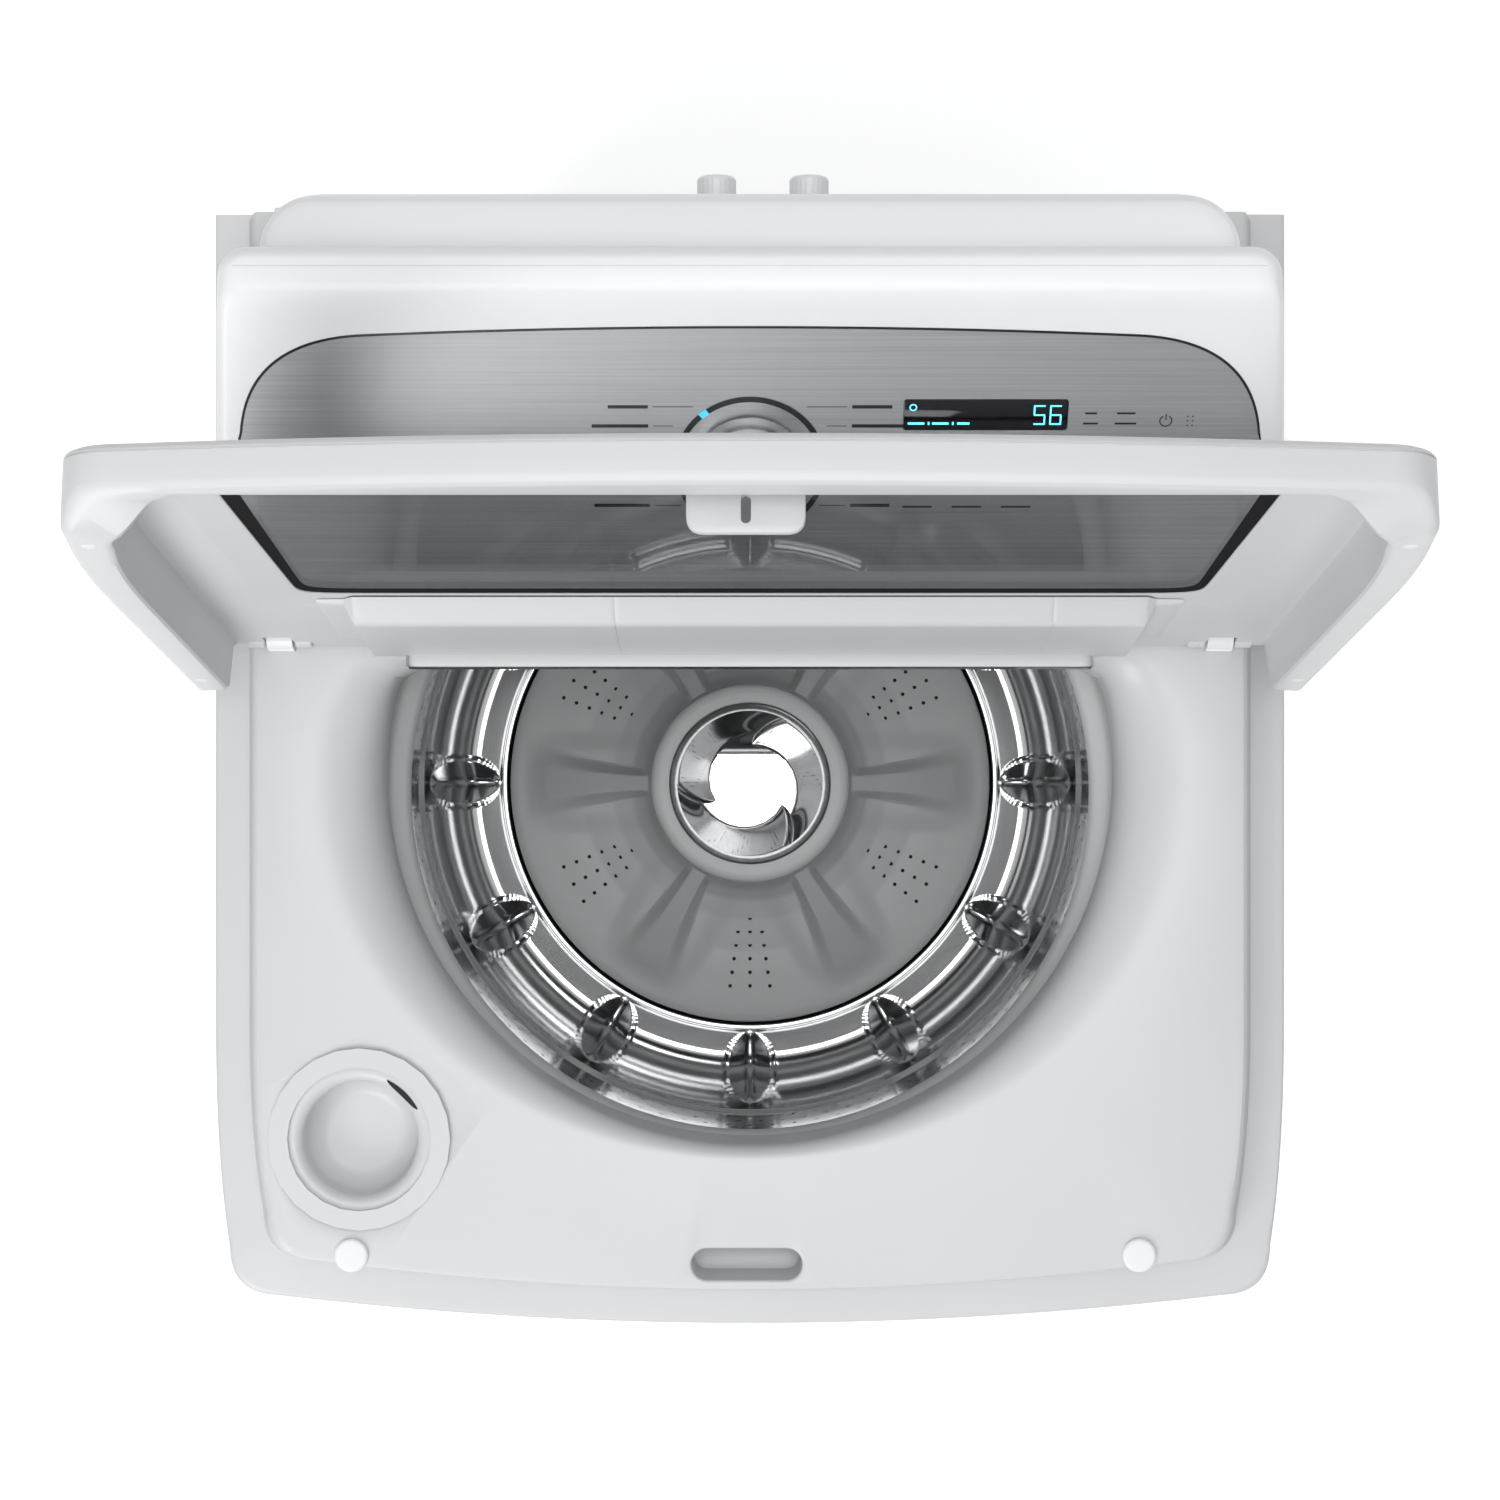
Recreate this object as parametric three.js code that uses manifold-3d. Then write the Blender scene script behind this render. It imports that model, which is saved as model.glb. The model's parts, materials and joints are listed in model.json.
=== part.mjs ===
// Top load washing machine with an open glass lid. Millimetres, +Z up, front towards -Y.
// The origin is on the floor, under the middle of the machine's box.
import * as THREE from 'three';
import { mergeVertices } from 'three/addons/utils/BufferGeometryUtils.js';
import Module from 'manifold-3d';

const wasm = await Module();
wasm.setup();

const gap = 0.3; // between pieces that touch
const wall = 3; // moulded plastic wall
const sheet = 2; // folded steel
const bigRound = 40; // facets of a drum-sized circle
const smallRound = 16; // facets of a pin-sized circle

const halfWidth = 343; // side of the top cover
const noseHalfWidth = 334; // where the sides have drawn in at the front
const frontY = -373; // middle of the bowed front edge
const frontCornerY = -354;
const taperY = -180; // the sides start to draw in here
const backY = 338;
const cornerRadius = 30;
const inletEndY = 373;

const frameBottomZ = 25;
const frameTopZ = 60;
const coverBottomZ = 935;
const ledgeZ = 970;
const plateauZ = 1000;

const drumY = -32;
const tubRadius = 294;
const tubBottomZ = 330;
const tubTopZ = 890;
const basketRadius = 267;
const basketBaseZ = 446;
const basketTopZ = 850;
const pulsatorRadius = 200.5;
const pulsatorBottomZ = 418.3;
const hubTopZ = 510;

const rodOffset = 262; // suspension rods, from the drum axis along X and Y
const gussetZ = 905;
const earBottomZ = 382;
const capTopZ = 334;

const openingY = -20; // middle of the loading opening
const openingRadius = 235;
const openingFlatY = 50;

const pivotY = 66;
const pivotZ = 1008;
const lidOpenDegrees = 100;
const lidTopZ = 1012;
const lidSkinZ = 1007; // underside of the lid's skin
const lidRimZ = 970.5;
const lidFrontRimZ = 986; // the rim is higher along the front, for the fingers
const windowHalfWidth = 266;
const windowRearY = -68;
const windowFrontY = pivotY - 388;
const hingeX = 294;

const latchX = -2;
const latchY = -329;
const bleach = { x: -246, y: -250 };
const bumperY = -323;

const slopeY = 79; // foot of the sloping panel
const slopeZ = 1010;
const slopeTopY = 247;
const slopeTopZ = 1122;
const consoleBackY = 292;
const consoleTopZ = 1133;
const slopeAngle = Math.atan2(slopeTopZ - slopeZ, slopeTopY - slopeY);

const knobV = 106; // up the slope from its foot
const display = { x: 141, v: 140, width: 98, height: 20 };
const startButton = { x: 228, v: 106, radius: 17 };
const optionKey = { firstX: 100, pitch: 38, v: 106, width: 24, height: 9, count: 3 };

function finish(color, roughness, metalness = 0) {
  return new THREE.MeshStandardMaterial({ color, roughness, metalness });
}
const whiteEnamel = finish(0xf2f2f2, 0.35);
const whitePlastic = finish(0xf4f4f4, 0.45);
const greyPlastic = finish(0xb4b6b8, 0.5);
const paleGrey = finish(0xd9dadb, 0.45);
const darkPlastic = finish(0x2a2b2d, 0.5);
const brushedSteel = finish(0x9b9da0, 0.35, 0.9);
const polishedSteel = finish(0xc9cbcd, 0.15, 1);
const chrome = finish(0xe6e7e8, 0.05, 1);
const castAlloy = finish(0x9a9c9e, 0.55, 0.8);
const copperWire = finish(0xa0622d, 0.4, 0.7);
const tintedGlass = finish(0x55585b, 0.05);
const displayGlass = finish(0x0b0c0e, 0.1);
const boardGreen = finish(0x1f5a38, 0.6);
const rubber = finish(0x3a3a3c, 0.85);

function signedVolume(geometry) {
  const points = geometry.attributes.position;
  const index = geometry.index;
  const [a, b, c] = [new THREE.Vector3(), new THREE.Vector3(), new THREE.Vector3()];
  let volume = 0;
  for (let i = 0; i < index.count; i += 3) {
    a.fromBufferAttribute(points, index.getX(i));
    b.fromBufferAttribute(points, index.getX(i + 1));
    c.fromBufferAttribute(points, index.getX(i + 2));
    volume += a.dot(b.cross(c)) / 6;
  }
  return volume;
}

// a closed geometry becomes a solid whose faces point out
function solid(geometry) {
  geometry.deleteAttribute('normal');
  geometry.deleteAttribute('uv');
  const merged = mergeVertices(geometry, 1e-4);
  const triVerts = Uint32Array.from(merged.index.array);
  if (signedVolume(merged) < 0) {
    for (let i = 0; i < triVerts.length; i += 3) {
      [triVerts[i], triVerts[i + 1]] = [triVerts[i + 1], triVerts[i]];
    }
  }
  const vertProperties = Float32Array.from(merged.attributes.position.array);
  return new wasm.Manifold(new wasm.Mesh({ numProp: 3, vertProperties, triVerts }));
}

function piece(name, body, material) {
  const data = body.getMesh();
  const geometry = new THREE.BufferGeometry();
  geometry.setAttribute('position', new THREE.BufferAttribute(data.vertProperties, 3));
  geometry.setIndex(new THREE.BufferAttribute(data.triVerts, 1));
  geometry.computeVertexNormals();
  const mesh = new THREE.Mesh(geometry, material);
  mesh.name = name;
  return mesh;
}

function joined(bodies) {
  return bodies.reduce((sum, body) => sum.add(body));
}

// box from its lowest to its highest corner
function block(x0, x1, y0, y1, z0, z1) {
  const geometry = new THREE.BoxGeometry(x1 - x0, y1 - y0, z1 - z0);
  return solid(geometry.translate((x0 + x1) / 2, (y0 + y1) / 2, (z0 + z1) / 2));
}

// flat shape raised along Z
function prism(shape, z0, z1, curveSegments = 6) {
  const geometry = new THREE.ExtrudeGeometry(shape, { depth: z1 - z0, bevelEnabled: false, curveSegments });
  return solid(geometry.translate(0, 0, z0));
}

// (radius, height) outline turned about a vertical axis through (x, y); closes on itself
function turned(outline, segments = bigRound, x = 0, y = drumY) {
  const points = outline.map(([radius, z]) => new THREE.Vector2(radius, z));
  if (outline[0][0] > 0) points.push(points[0].clone());
  const geometry = new THREE.LatheGeometry(points, segments);
  return solid(geometry.rotateX(Math.PI / 2).translate(x, y, 0));
}

// the same, about an axis along Y through (x, z)
function turnedAlongY(outline, x, z, segments = smallRound) {
  const points = outline.map(([radius, y]) => new THREE.Vector2(radius, y));
  if (outline[0][0] > 0) points.push(points[0].clone());
  return solid(new THREE.LatheGeometry(points, segments).translate(x, 0, z));
}

function rodAlongX(radius, x0, x1, y, z, segments = smallRound) {
  const geometry = new THREE.CylinderGeometry(radius, radius, x1 - x0, segments);
  return solid(geometry.rotateZ(Math.PI / 2).translate((x0 + x1) / 2, y, z));
}

function disc(radius, x, y, z0, z1, segments = smallRound) {
  return turned([[0, z0], [radius, z0], [radius, z1], [0, z1]], segments, x, y);
}

// skin over outlines stacked in Z; each outline has the same number of points
function loft(levels, curveSegments = 6) {
  const rings = levels.map(({ shape }) => shape.extractPoints(curveSegments).shape);
  const count = rings[0].length;
  const closes = rings[0][0].distanceTo(rings[0][count - 1]) < 1e-6;
  const size = closes ? count - 1 : count;
  const positions = [];
  rings.forEach((ring, level) => {
    ring.slice(0, size).forEach((point) => positions.push(point.x, point.y, levels[level].z));
  });
  const index = [];
  for (let level = 0; level + 1 < rings.length; level += 1) {
    for (let i = 0; i < size; i += 1) {
      const here = level * size + i;
      const next = level * size + ((i + 1) % size);
      index.push(here, next, next + size, here, next + size, here + size);
    }
  }
  const capFaces = (ring) => THREE.ShapeUtils.triangulateShape(ring.slice(0, size), []);
  capFaces(rings[0]).forEach(([a, b, c]) => index.push(c, b, a));
  const top = (rings.length - 1) * size;
  const wound = THREE.ShapeUtils.area(rings[0].slice(0, size)) > 0;
  capFaces(rings[rings.length - 1]).forEach(([a, b, c]) => index.push(top + a, top + b, top + c));
  const geometry = new THREE.BufferGeometry();
  geometry.setAttribute('position', new THREE.Float32BufferAttribute(positions, 3));
  geometry.setIndex(wound ? index : flippedSides(index, size, rings.length));
  return solid(geometry);
}

// a clockwise outline needs its side faces turned to agree with the caps
function flippedSides(index, size, levels) {
  const sides = (levels - 1) * size * 6;
  const result = index.slice();
  for (let i = 0; i < sides; i += 3) {
    [result[i], result[i + 1]] = [result[i + 1], result[i]];
  }
  return result;
}

// the machine seen from above, drawn in by the given insets; the front edge bows forwards
function planOutline(inset, frontInset = inset, back = backY) {
  const side = halfWidth - inset;
  const nose = noseHalfWidth - inset;
  const corner = frontCornerY + frontInset;
  const middle = frontY + frontInset;
  const radius = cornerRadius;
  const shape = new THREE.Shape();
  shape.moveTo(side, back);
  shape.lineTo(-side, back);
  shape.lineTo(-side, taperY);
  shape.quadraticCurveTo(-side, (taperY + corner) / 2, -nose, corner + radius);
  shape.quadraticCurveTo(-nose, corner, -nose + radius, corner - 1);
  shape.quadraticCurveTo(0, 2 * middle - corner + 1, nose - radius, corner - 1);
  shape.quadraticCurveTo(nose, corner, nose, corner + radius);
  shape.quadraticCurveTo(side, (taperY + corner) / 2, side, taperY);
  shape.closePath();
  return shape;
}

function roundedBox(x0, x1, y0, y1, frontRadius, backRadius) {
  const shape = new THREE.Shape();
  shape.moveTo(x0 + frontRadius, y0);
  shape.lineTo(x1 - frontRadius, y0);
  shape.quadraticCurveTo(x1, y0, x1, y0 + frontRadius);
  shape.lineTo(x1, y1 - backRadius);
  shape.quadraticCurveTo(x1, y1, x1 - backRadius, y1);
  shape.lineTo(x0 + backRadius, y1);
  shape.quadraticCurveTo(x0, y1, x0, y1 - backRadius);
  shape.lineTo(x0, y0 + frontRadius);
  shape.quadraticCurveTo(x0, y0, x0 + frontRadius, y0);
  return shape;
}

// round opening, flat at the rear
function openingOutline(radiusX, radiusY, flatY) {
  const start = Math.asin((flatY - openingY) / radiusY);
  const shape = new THREE.Shape();
  const steps = 36;
  for (let i = 0; i <= steps; i += 1) {
    const angle = Math.PI - start + ((Math.PI + 2 * start) * i) / steps;
    const x = radiusX * Math.cos(angle);
    const y = openingY + radiusY * Math.sin(angle);
    if (i === 0) shape.moveTo(x, y);
    else shape.lineTo(x, y);
  }
  shape.closePath();
  return shape;
}

function pill(x, y, length, width) {
  const radius = width / 2;
  const reach = length / 2 - radius;
  const shape = new THREE.Shape();
  shape.moveTo(x - reach, y - radius);
  shape.absarc(x + reach, y, radius, -Math.PI / 2, Math.PI / 2, false);
  shape.absarc(x - reach, y, radius, Math.PI / 2, Math.PI * 1.5, false);
  return shape;
}

// face of the control panel on its slope: x across, y up the slope
function panelOutline(grow) {
  const shape = new THREE.Shape();
  shape.moveTo(-325 - grow, 8 - grow);
  shape.lineTo(325 + grow, 8 - grow);
  shape.lineTo(321 + grow, 83);
  shape.lineTo(306 + grow, 128);
  shape.quadraticCurveTo(297 + grow, 187 + grow, 232, 192 + grow);
  shape.quadraticCurveTo(0, 203 + grow, -232, 192 + grow);
  shape.quadraticCurveTo(-297 - grow, 187 + grow, -306 - grow, 128);
  shape.lineTo(-321 - grow, 83);
  shape.closePath();
  return shape;
}

const cabinetInset = 3;
const cabinetFrontInset = 6;

function rodPlaces() {
  const places = [];
  for (const side of [-1, 1]) {
    for (const end of [-1, 1]) {
      const name = `${end < 0 ? 'front' : 'rear'}_${side < 0 ? 'left' : 'right'}`;
      places.push({ name, x: side * rodOffset, y: drumY + end * rodOffset });
    }
  }
  return places;
}

function footPlaces() {
  return [
    { name: 'front_left', x: -300, y: -315 },
    { name: 'front_right', x: 300, y: -315 },
    { name: 'rear_left', x: -300, y: 300 },
    { name: 'rear_right', x: 300, y: 300 },
  ];
}

function makeCabinetShell() {
  const top = coverBottomZ - gap;
  const outer = prism(planOutline(cabinetInset, cabinetFrontInset), frameBottomZ, top);
  const inner = planOutline(cabinetInset + sheet, cabinetFrontInset + sheet, backY + 20);
  let shell = outer.subtract(prism(inner, frameBottomZ - 1, top + 1));
  const plan = planOutline(cabinetInset + 1, cabinetFrontInset + 1, backY - 3.5);
  const gussets = prism(plan, gussetZ, gussetZ + sheet)
    .subtract(disc(345, 0, drumY, gussetZ - 1, gussetZ + 9, bigRound))
    .subtract(block(-120, 120, 200, backY + 1, gussetZ - 1, gussetZ + 9));
  shell = shell.add(gussets);
  for (const { x, y } of rodPlaces()) shell = shell.subtract(disc(6, x, y, gussetZ - 1, gussetZ + 9));
  return piece('cabinet_shell', shell, whiteEnamel);
}

function makeBaseFrame() {
  const inset = cabinetInset + sheet + gap;
  const plan = planOutline(inset, cabinetFrontInset + sheet + gap, backY - 3);
  let frame = prism(plan, frameBottomZ, frameTopZ);
  frame = frame.subtract(block(-270, 270, -288, 270, frameBottomZ - 1, frameTopZ + 1));
  for (const { x, y } of footPlaces()) {
    frame = frame.subtract(disc(6.4, x, y, frameBottomZ - 1, frameTopZ + 1));
  }
  return piece('base_frame', frame, castAlloy);
}

const inlets = [{ name: 'left', x: -22 }, { name: 'right', x: 39 }];
const inletZ = 915;
const gland = { x: -240, z: 860 };
const drain = { x: 250, z: 860 };

function makeRearPanel() {
  const half = halfWidth - cabinetInset - sheet - gap;
  let panel = block(-half, half, backY - 2.5, backY, frameTopZ + gap, coverBottomZ - gap);
  const bore = (x, z, radius) => {
    panel = panel.subtract(turnedAlongY([[0, 300], [radius, 300], [radius, 360], [0, 360]], x, z));
  };
  for (const { x } of inlets) bore(x, inletZ, 12);
  bore(gland.x, gland.z, 9);
  bore(drain.x, drain.z, 15);
  return piece('rear_panel', panel, whiteEnamel);
}

function makeTopCover() {
  const skirt = loft([
    { shape: planOutline(0), z: coverBottomZ },
    { shape: planOutline(0), z: ledgeZ - 3 },
    { shape: planOutline(2), z: ledgeZ },
  ]);
  const skirtInside = prism(planOutline(wall, wall, backY - wall), coverBottomZ - 1, ledgeZ - wall);
  const plateau = loft([
    { shape: planOutline(23, 25, backY - 4), z: ledgeZ - 1 },
    { shape: planOutline(30, 27, backY - 4), z: plateauZ - 3 },
    { shape: planOutline(33, 29, backY - 6), z: plateauZ },
  ]);
  const plateauInside = loft([
    { shape: planOutline(26, 28, backY - 7), z: ledgeZ - wall - 1 },
    { shape: planOutline(33, 30, backY - 7), z: plateauZ - wall },
  ]);
  const funnel = (extra, lowZ, highZ) => loft([
    { shape: openingOutline(openingRadius + extra, openingRadius + extra, openingFlatY + extra), z: lowZ },
    { shape: openingOutline(openingRadius + 3 + extra, openingRadius + extra, openingFlatY + extra), z: 965 },
    { shape: openingOutline(258 + extra, 238 + extra, openingFlatY + 3 + extra), z: 985 },
    { shape: openingOutline(283 + extra, 243 + extra, openingFlatY + 8 + extra), z: highZ },
  ]);
  const bleachBoss = disc(57, bleach.x, bleach.y, 990, plateauZ - 1, 32);
  let cover = skirt.add(plateau).subtract(skirtInside.add(plateauInside));
  cover = joined([cover, funnel(wall, 945, plateauZ - 0.5), bleachBoss]);
  cover = cover.subtract(funnel(0, 944, plateauZ + 0.5));
  cover = cover.subtract(disc(53.4, bleach.x, bleach.y, plateauZ - 2.3, plateauZ + 1, 32));
  cover = cover.subtract(disc(41.2, bleach.x, bleach.y, 980, plateauZ + 1, 32));
  cover = cover.subtract(prism(pill(latchX, latchY, 70, 20), 990, plateauZ + 1));
  return piece('top_cover', cover, whitePlastic);
}

function makeBleachCup() {
  const outline = [[0, 969], [28, 969], [38, 978], [40.7, plateauZ - 2], [53, plateauZ - 2], [53, plateauZ],
    [38, plateauZ], [36, 997], [34, 979], [26, 972], [0, 972]];
  return piece('bleach_cup', turned(outline, 32, bleach.x, bleach.y), whitePlastic);
}

function makeBumpers() {
  const low = plateauZ + gap;
  const outline = [[0, low], [10.7, low], [10.7, low + 1.5], [9, 1003], [0, 1003]];
  return [['left', -251], ['right', 245]].map(([side, x]) => (
    piece(`bumper_${side}`, turned(outline, smallRound, x, bumperY), paleGrey)
  ));
}

const boltRear = -284;
const boltFront = -317.5;

function makeLidLock() {
  const top = plateauZ - wall - gap;
  const front = latchY - 12.5;
  let housing = block(latchX - 43, latchX + 43, front, -270, 955, top);
  housing = housing.subtract(prism(pill(latchX, latchY, 70, 20), 966, top + 1));
  housing = housing.subtract(block(latchX - 1.9, latchX + 1.9, latchY, boltRear + gap, 979.6, 989.4));
  const bolt = block(latchX - 1.5, latchX + 1.5, boltFront, boltRear, 980, 989);
  return [piece('lid_lock_housing', housing, darkPlastic), piece('lock_bolt', bolt, brushedSteel)];
}

function consoleLevels(inset, slopeInset, levels) {
  return levels.map(([z, half, front, back, backRadius]) => {
    const [left, right] = [-half + inset, half - inset];
    return { shape: roundedBox(left, right, front + slopeInset, back - inset, 6, backRadius), z };
  });
}

// things on the slope are made flat, with their face at zero height, and then set on it
function onSlope(body) {
  return body.rotate([THREE.MathUtils.radToDeg(slopeAngle), 0, 0]).translate([0, slopeY, slopeZ]);
}

function optionKeyX(number) {
  return optionKey.firstX + optionKey.pitch * number;
}

// what passes through the panel; grow is the clearance all round
function panelCuts(low, high, grow) {
  const cuts = [
    disc(12, 0, knobV, low, high),
    disc(startButton.radius + grow, startButton.x, startButton.v, low, high, 32),
    block(display.x - display.width / 2 - grow, display.x + display.width / 2 + grow,
      display.v - display.height / 2 - grow, display.v + display.height / 2 + grow, low, high),
  ];
  for (let i = 0; i < optionKey.count; i += 1) {
    const x = optionKeyX(i);
    cuts.push(block(x - optionKey.width / 2 - grow, x + optionKey.width / 2 + grow,
      optionKey.v - optionKey.height / 2 - grow, optionKey.v + optionKey.height / 2 + grow, low, high));
  }
  return joined(cuts);
}

function makeConsole() {
  const outside = loft(consoleLevels(0, 0, [
    [plateauZ + gap, 335, 77, consoleBackY, 24],
    [slopeZ, 334, slopeY, consoleBackY, 24],
    [slopeTopZ, 312, slopeTopY, 290, 18],
    [1130, 309, 256, 287, 14],
    [consoleTopZ, 303, 264, 280, 6],
  ]));
  const inside = loft(consoleLevels(0, 0, [
    [plateauZ - 1, 331, 81, 289, 22],
    [slopeZ - 4, 330, 88, 289, 22],
    [1112, 310, 247, 287, 15],
    [1128, 305, 268, 283, 6],
  ]));
  let housing = outside.subtract(inside);
  housing = housing.subtract(onSlope(prism(panelOutline(gap), -wall - gap, 4, 8)));
  housing = housing.subtract(onSlope(block(-255, 270, 40, 170, -16, 0)));
  return piece('console_housing', housing, whitePlastic);
}

function makeConsoleRearCover() {
  const front = consoleBackY + gap;
  const outside = loft([
    { shape: roundedBox(-308, 308, front, 344, 3, 45), z: plateauZ + gap },
    { shape: roundedBox(-297, 297, front, 331, 3, 34), z: 1070 },
    { shape: roundedBox(-290, 290, front, 322, 3, 26), z: 1085 },
  ]);
  const inside = loft([
    { shape: roundedBox(-305, 305, front - 9, 341, 4, 42), z: plateauZ - 1 },
    { shape: roundedBox(-294, 294, front - 9, 328, 4, 31), z: 1066 },
    { shape: roundedBox(-288, 288, front - 9, 320, 4, 24), z: 1080 },
  ]);
  return piece('console_rear_cover', outside.subtract(inside), whitePlastic);
}

function makeControlPanel() {
  const panel = prism(panelOutline(0), -wall, 0, 8).subtract(panelCuts(-wall - 1, 1, gap));
  return piece('control_panel', onSlope(panel), brushedSteel);
}

function makePanelFittings() {
  const halfDisplay = display.width / 2;
  const halfHeight = display.height / 2;
  const glass = block(display.x - halfDisplay, display.x + halfDisplay,
    display.v - halfHeight, display.v + halfHeight, -wall, 0.3);
  const board = joined([
    block(-120, 200, 62, 152, -36, -34),
    block(-20, 20, knobV - 18, knobV + 18, -34.5, -24),
    block(90, 190, 126, 150, -34.5, -20),
    block(-100, -60, 80, 120, -34.5, -26),
  ]);
  return [
    piece('display_window', onSlope(glass), displayGlass),
    piece('control_board', onSlope(board), boardGreen),
  ];
}

function makeKnob() {
  const outline = [[0, -20], [5, -20], [5, 1.6], [33, 1.6], [34, 5], [32.5, 22], [30, 24], [0, 24]];
  return piece('cycle_knob', onSlope(turned(outline, 32, 0, knobV)), chrome);
}

function makeButtons() {
  const round = turned([[0, -5], [startButton.radius, -5], [startButton.radius, 1.5],
    [startButton.radius - 1.5, 2.5], [0, 2.5]], 32, startButton.x, startButton.v);
  const buttons = [piece('start_button', onSlope(round), paleGrey)];
  for (let i = 0; i < optionKey.count; i += 1) {
    const x = optionKeyX(i);
    const key = block(x - optionKey.width / 2, x + optionKey.width / 2,
      optionKey.v - optionKey.height / 2, optionKey.v + optionKey.height / 2, -5, 1.5);
    buttons.push(piece(`option_key_${i + 1}`, onSlope(key), paleGrey));
  }
  return buttons;
}

function makeInlets() {
  let valve = block(-48, 65, 298, backY - 2.8, 893, coverBottomZ);
  for (const { x } of inlets) {
    valve = valve.add(turnedAlongY([[0, 330], [11, 330], [11, 349], [0, 349]], x, inletZ));
  }
  const caps = inlets.map(({ name, x }) => {
    const outline = [[0, 349 + gap], [13, 349 + gap], [13, inletEndY - 2], [11.5, inletEndY], [0, inletEndY]];
    return piece(`inlet_cap_${name}`, turnedAlongY(outline, x, inletZ, 24), whitePlastic);
  });
  return [piece('inlet_valve', valve, darkPlastic), ...caps];
}

function makeFillSpout() {
  const spout = joined([
    block(-25, 42, 282, 330, coverBottomZ + gap, 985),
    block(-25, 42, 70, 330, 962, 985),
    block(-15, 32, 70, 96, 950, 963),
  ]);
  return piece('fill_spout', spout, whitePlastic);
}

function makeGland() {
  const low = backY + gap;
  const outline = [[0, 330], [8.6, 330], [8.6, low], [14, low], [14, low + 4], [8, low + 5], [7, 356], [0, 356]];
  return piece('cord_gland', turnedAlongY(outline, gland.x, gland.z), rubber);
}

function makeDrainOutlet() {
  const low = backY + gap;
  const outline = [[0, 325], [14.6, 325], [14.6, low], [24, low], [24, low + 4], [15, low + 5], [15, 362],
    [16.5, 364], [15, 369], [0, 369]];
  return piece('drain_outlet', turnedAlongY(outline, drain.x, drain.z, 24), greyPlastic);
}

function makeHoseHooks() {
  const low = backY + gap;
  return [['left', -1], ['right', 1]].map(([side, sign]) => {
    const [inner, outer] = side === 'left' ? [284, 313] : [274, 303];
    const [x0, x1] = sign < 0 ? [-outer, -inner] : [inner, outer];
    const tip = sign < 0 ? [x0, x0 + 6] : [x1 - 6, x1];
    const hook = joined([
      block(x0 + 4, x1 - 4, low, low + 3, 896, 930),
      block(x0, x1, low + 2.5, 352, 905, 910),
      block(tip[0], tip[1], 346, 352, 905, 922),
    ]);
    return piece(`hose_hook_${side}`, hook, whitePlastic);
  });
}

// the lid's pieces are made in their closed place
function makeLidShell() {
  const lidBack = 70;
  const skirtBack = 60;
  const outside = loft([
    { shape: planOutline(0, 0, lidBack), z: lidRimZ },
    { shape: planOutline(0, 0, lidBack), z: lidSkinZ },
    { shape: planOutline(3, 3, lidBack), z: lidTopZ - 1 },
    { shape: planOutline(6, 6, lidBack), z: lidTopZ },
  ]);
  let lid = outside.subtract(prism(planOutline(20, 24, lidBack + 9), lidRimZ - 1, lidSkinZ));
  lid = lid.subtract(block(-halfWidth - 1, halfWidth + 1, skirtBack, lidBack + 1, lidRimZ - 1, lidSkinZ));
  lid = lid.subtract(block(-halfWidth - 1, halfWidth + 1, frontY - 1, frontCornerY + 12, lidRimZ - 1, lidFrontRimZ));
  const grow = 7 + gap;
  lid = lid.subtract(prism(roundedBox(-windowHalfWidth - grow, windowHalfWidth + grow,
    windowFrontY - 6 - gap, windowRearY + grow, 8, 8), lidSkinZ - 1, lidTopZ + 1));
  for (const x of [-hingeX, hingeX]) {
    lid = lid.add(rodAlongX(7, x - 20, x + 20, pivotY, pivotZ));
    lid = lid.subtract(block(x - 8 - gap, x + 8 + gap, 50, lidBack + 9, lidRimZ, lidTopZ + 9));
    lid = lid.subtract(rodAlongX(3.5 + gap, x - 15, x + 15, pivotY, pivotZ));
  }
  return piece('lid_shell', lid, whitePlastic);
}

function makeLidGlass() {
  const pane = prism(roundedBox(-windowHalfWidth - 7, windowHalfWidth + 7, windowFrontY - 6, windowRearY + 7, 8, 8),
    lidSkinZ + gap, lidTopZ - 1);
  return piece('lid_glass', pane, tintedGlass);
}

function makeLidInnerFrame() {
  let frame = prism(planOutline(20 + gap, 24 + gap, 46), lidSkinZ - 3.4, lidSkinZ - gap);
  frame = frame.subtract(prism(roundedBox(-windowHalfWidth, windowHalfWidth, windowFrontY, windowRearY, 12, 12),
    lidSkinZ - 9, lidSkinZ + 9));
  // the stiffening bar along the rear hangs into the loading opening when the lid is closed
  frame = frame.add(block(-212, 212, 22, 44, lidSkinZ - 23, lidSkinZ - 2));
  return piece('lid_inner_frame', frame, whitePlastic);
}

function makeLatchTab() {
  const top = lidSkinZ - 3.4 - gap;
  const shape = new THREE.Shape();
  const [left, right, low, corner] = [latchX - 29, latchX + 29, 972.5, 9];
  shape.moveTo(left, top);
  shape.lineTo(left, low + corner);
  shape.quadraticCurveTo(left, low, left + corner, low);
  shape.lineTo(right - corner, low);
  shape.quadraticCurveTo(right, low, right, low + corner);
  shape.lineTo(right, top);
  shape.closePath();
  // drawn in X and Z, so the raised shape is stood up along Y
  const upright = new THREE.ExtrudeGeometry(shape, { depth: 6, bevelEnabled: false, curveSegments: 5 });
  const tab = solid(upright.rotateX(Math.PI / 2).translate(0, latchY + 3, 0));
  const slot = block(latchX - 2.5, latchX + 2.5, latchY - 9, latchY + 9, 977, 992);
  return piece('lid_latch_tab', tab.subtract(slot), whitePlastic);
}

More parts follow.
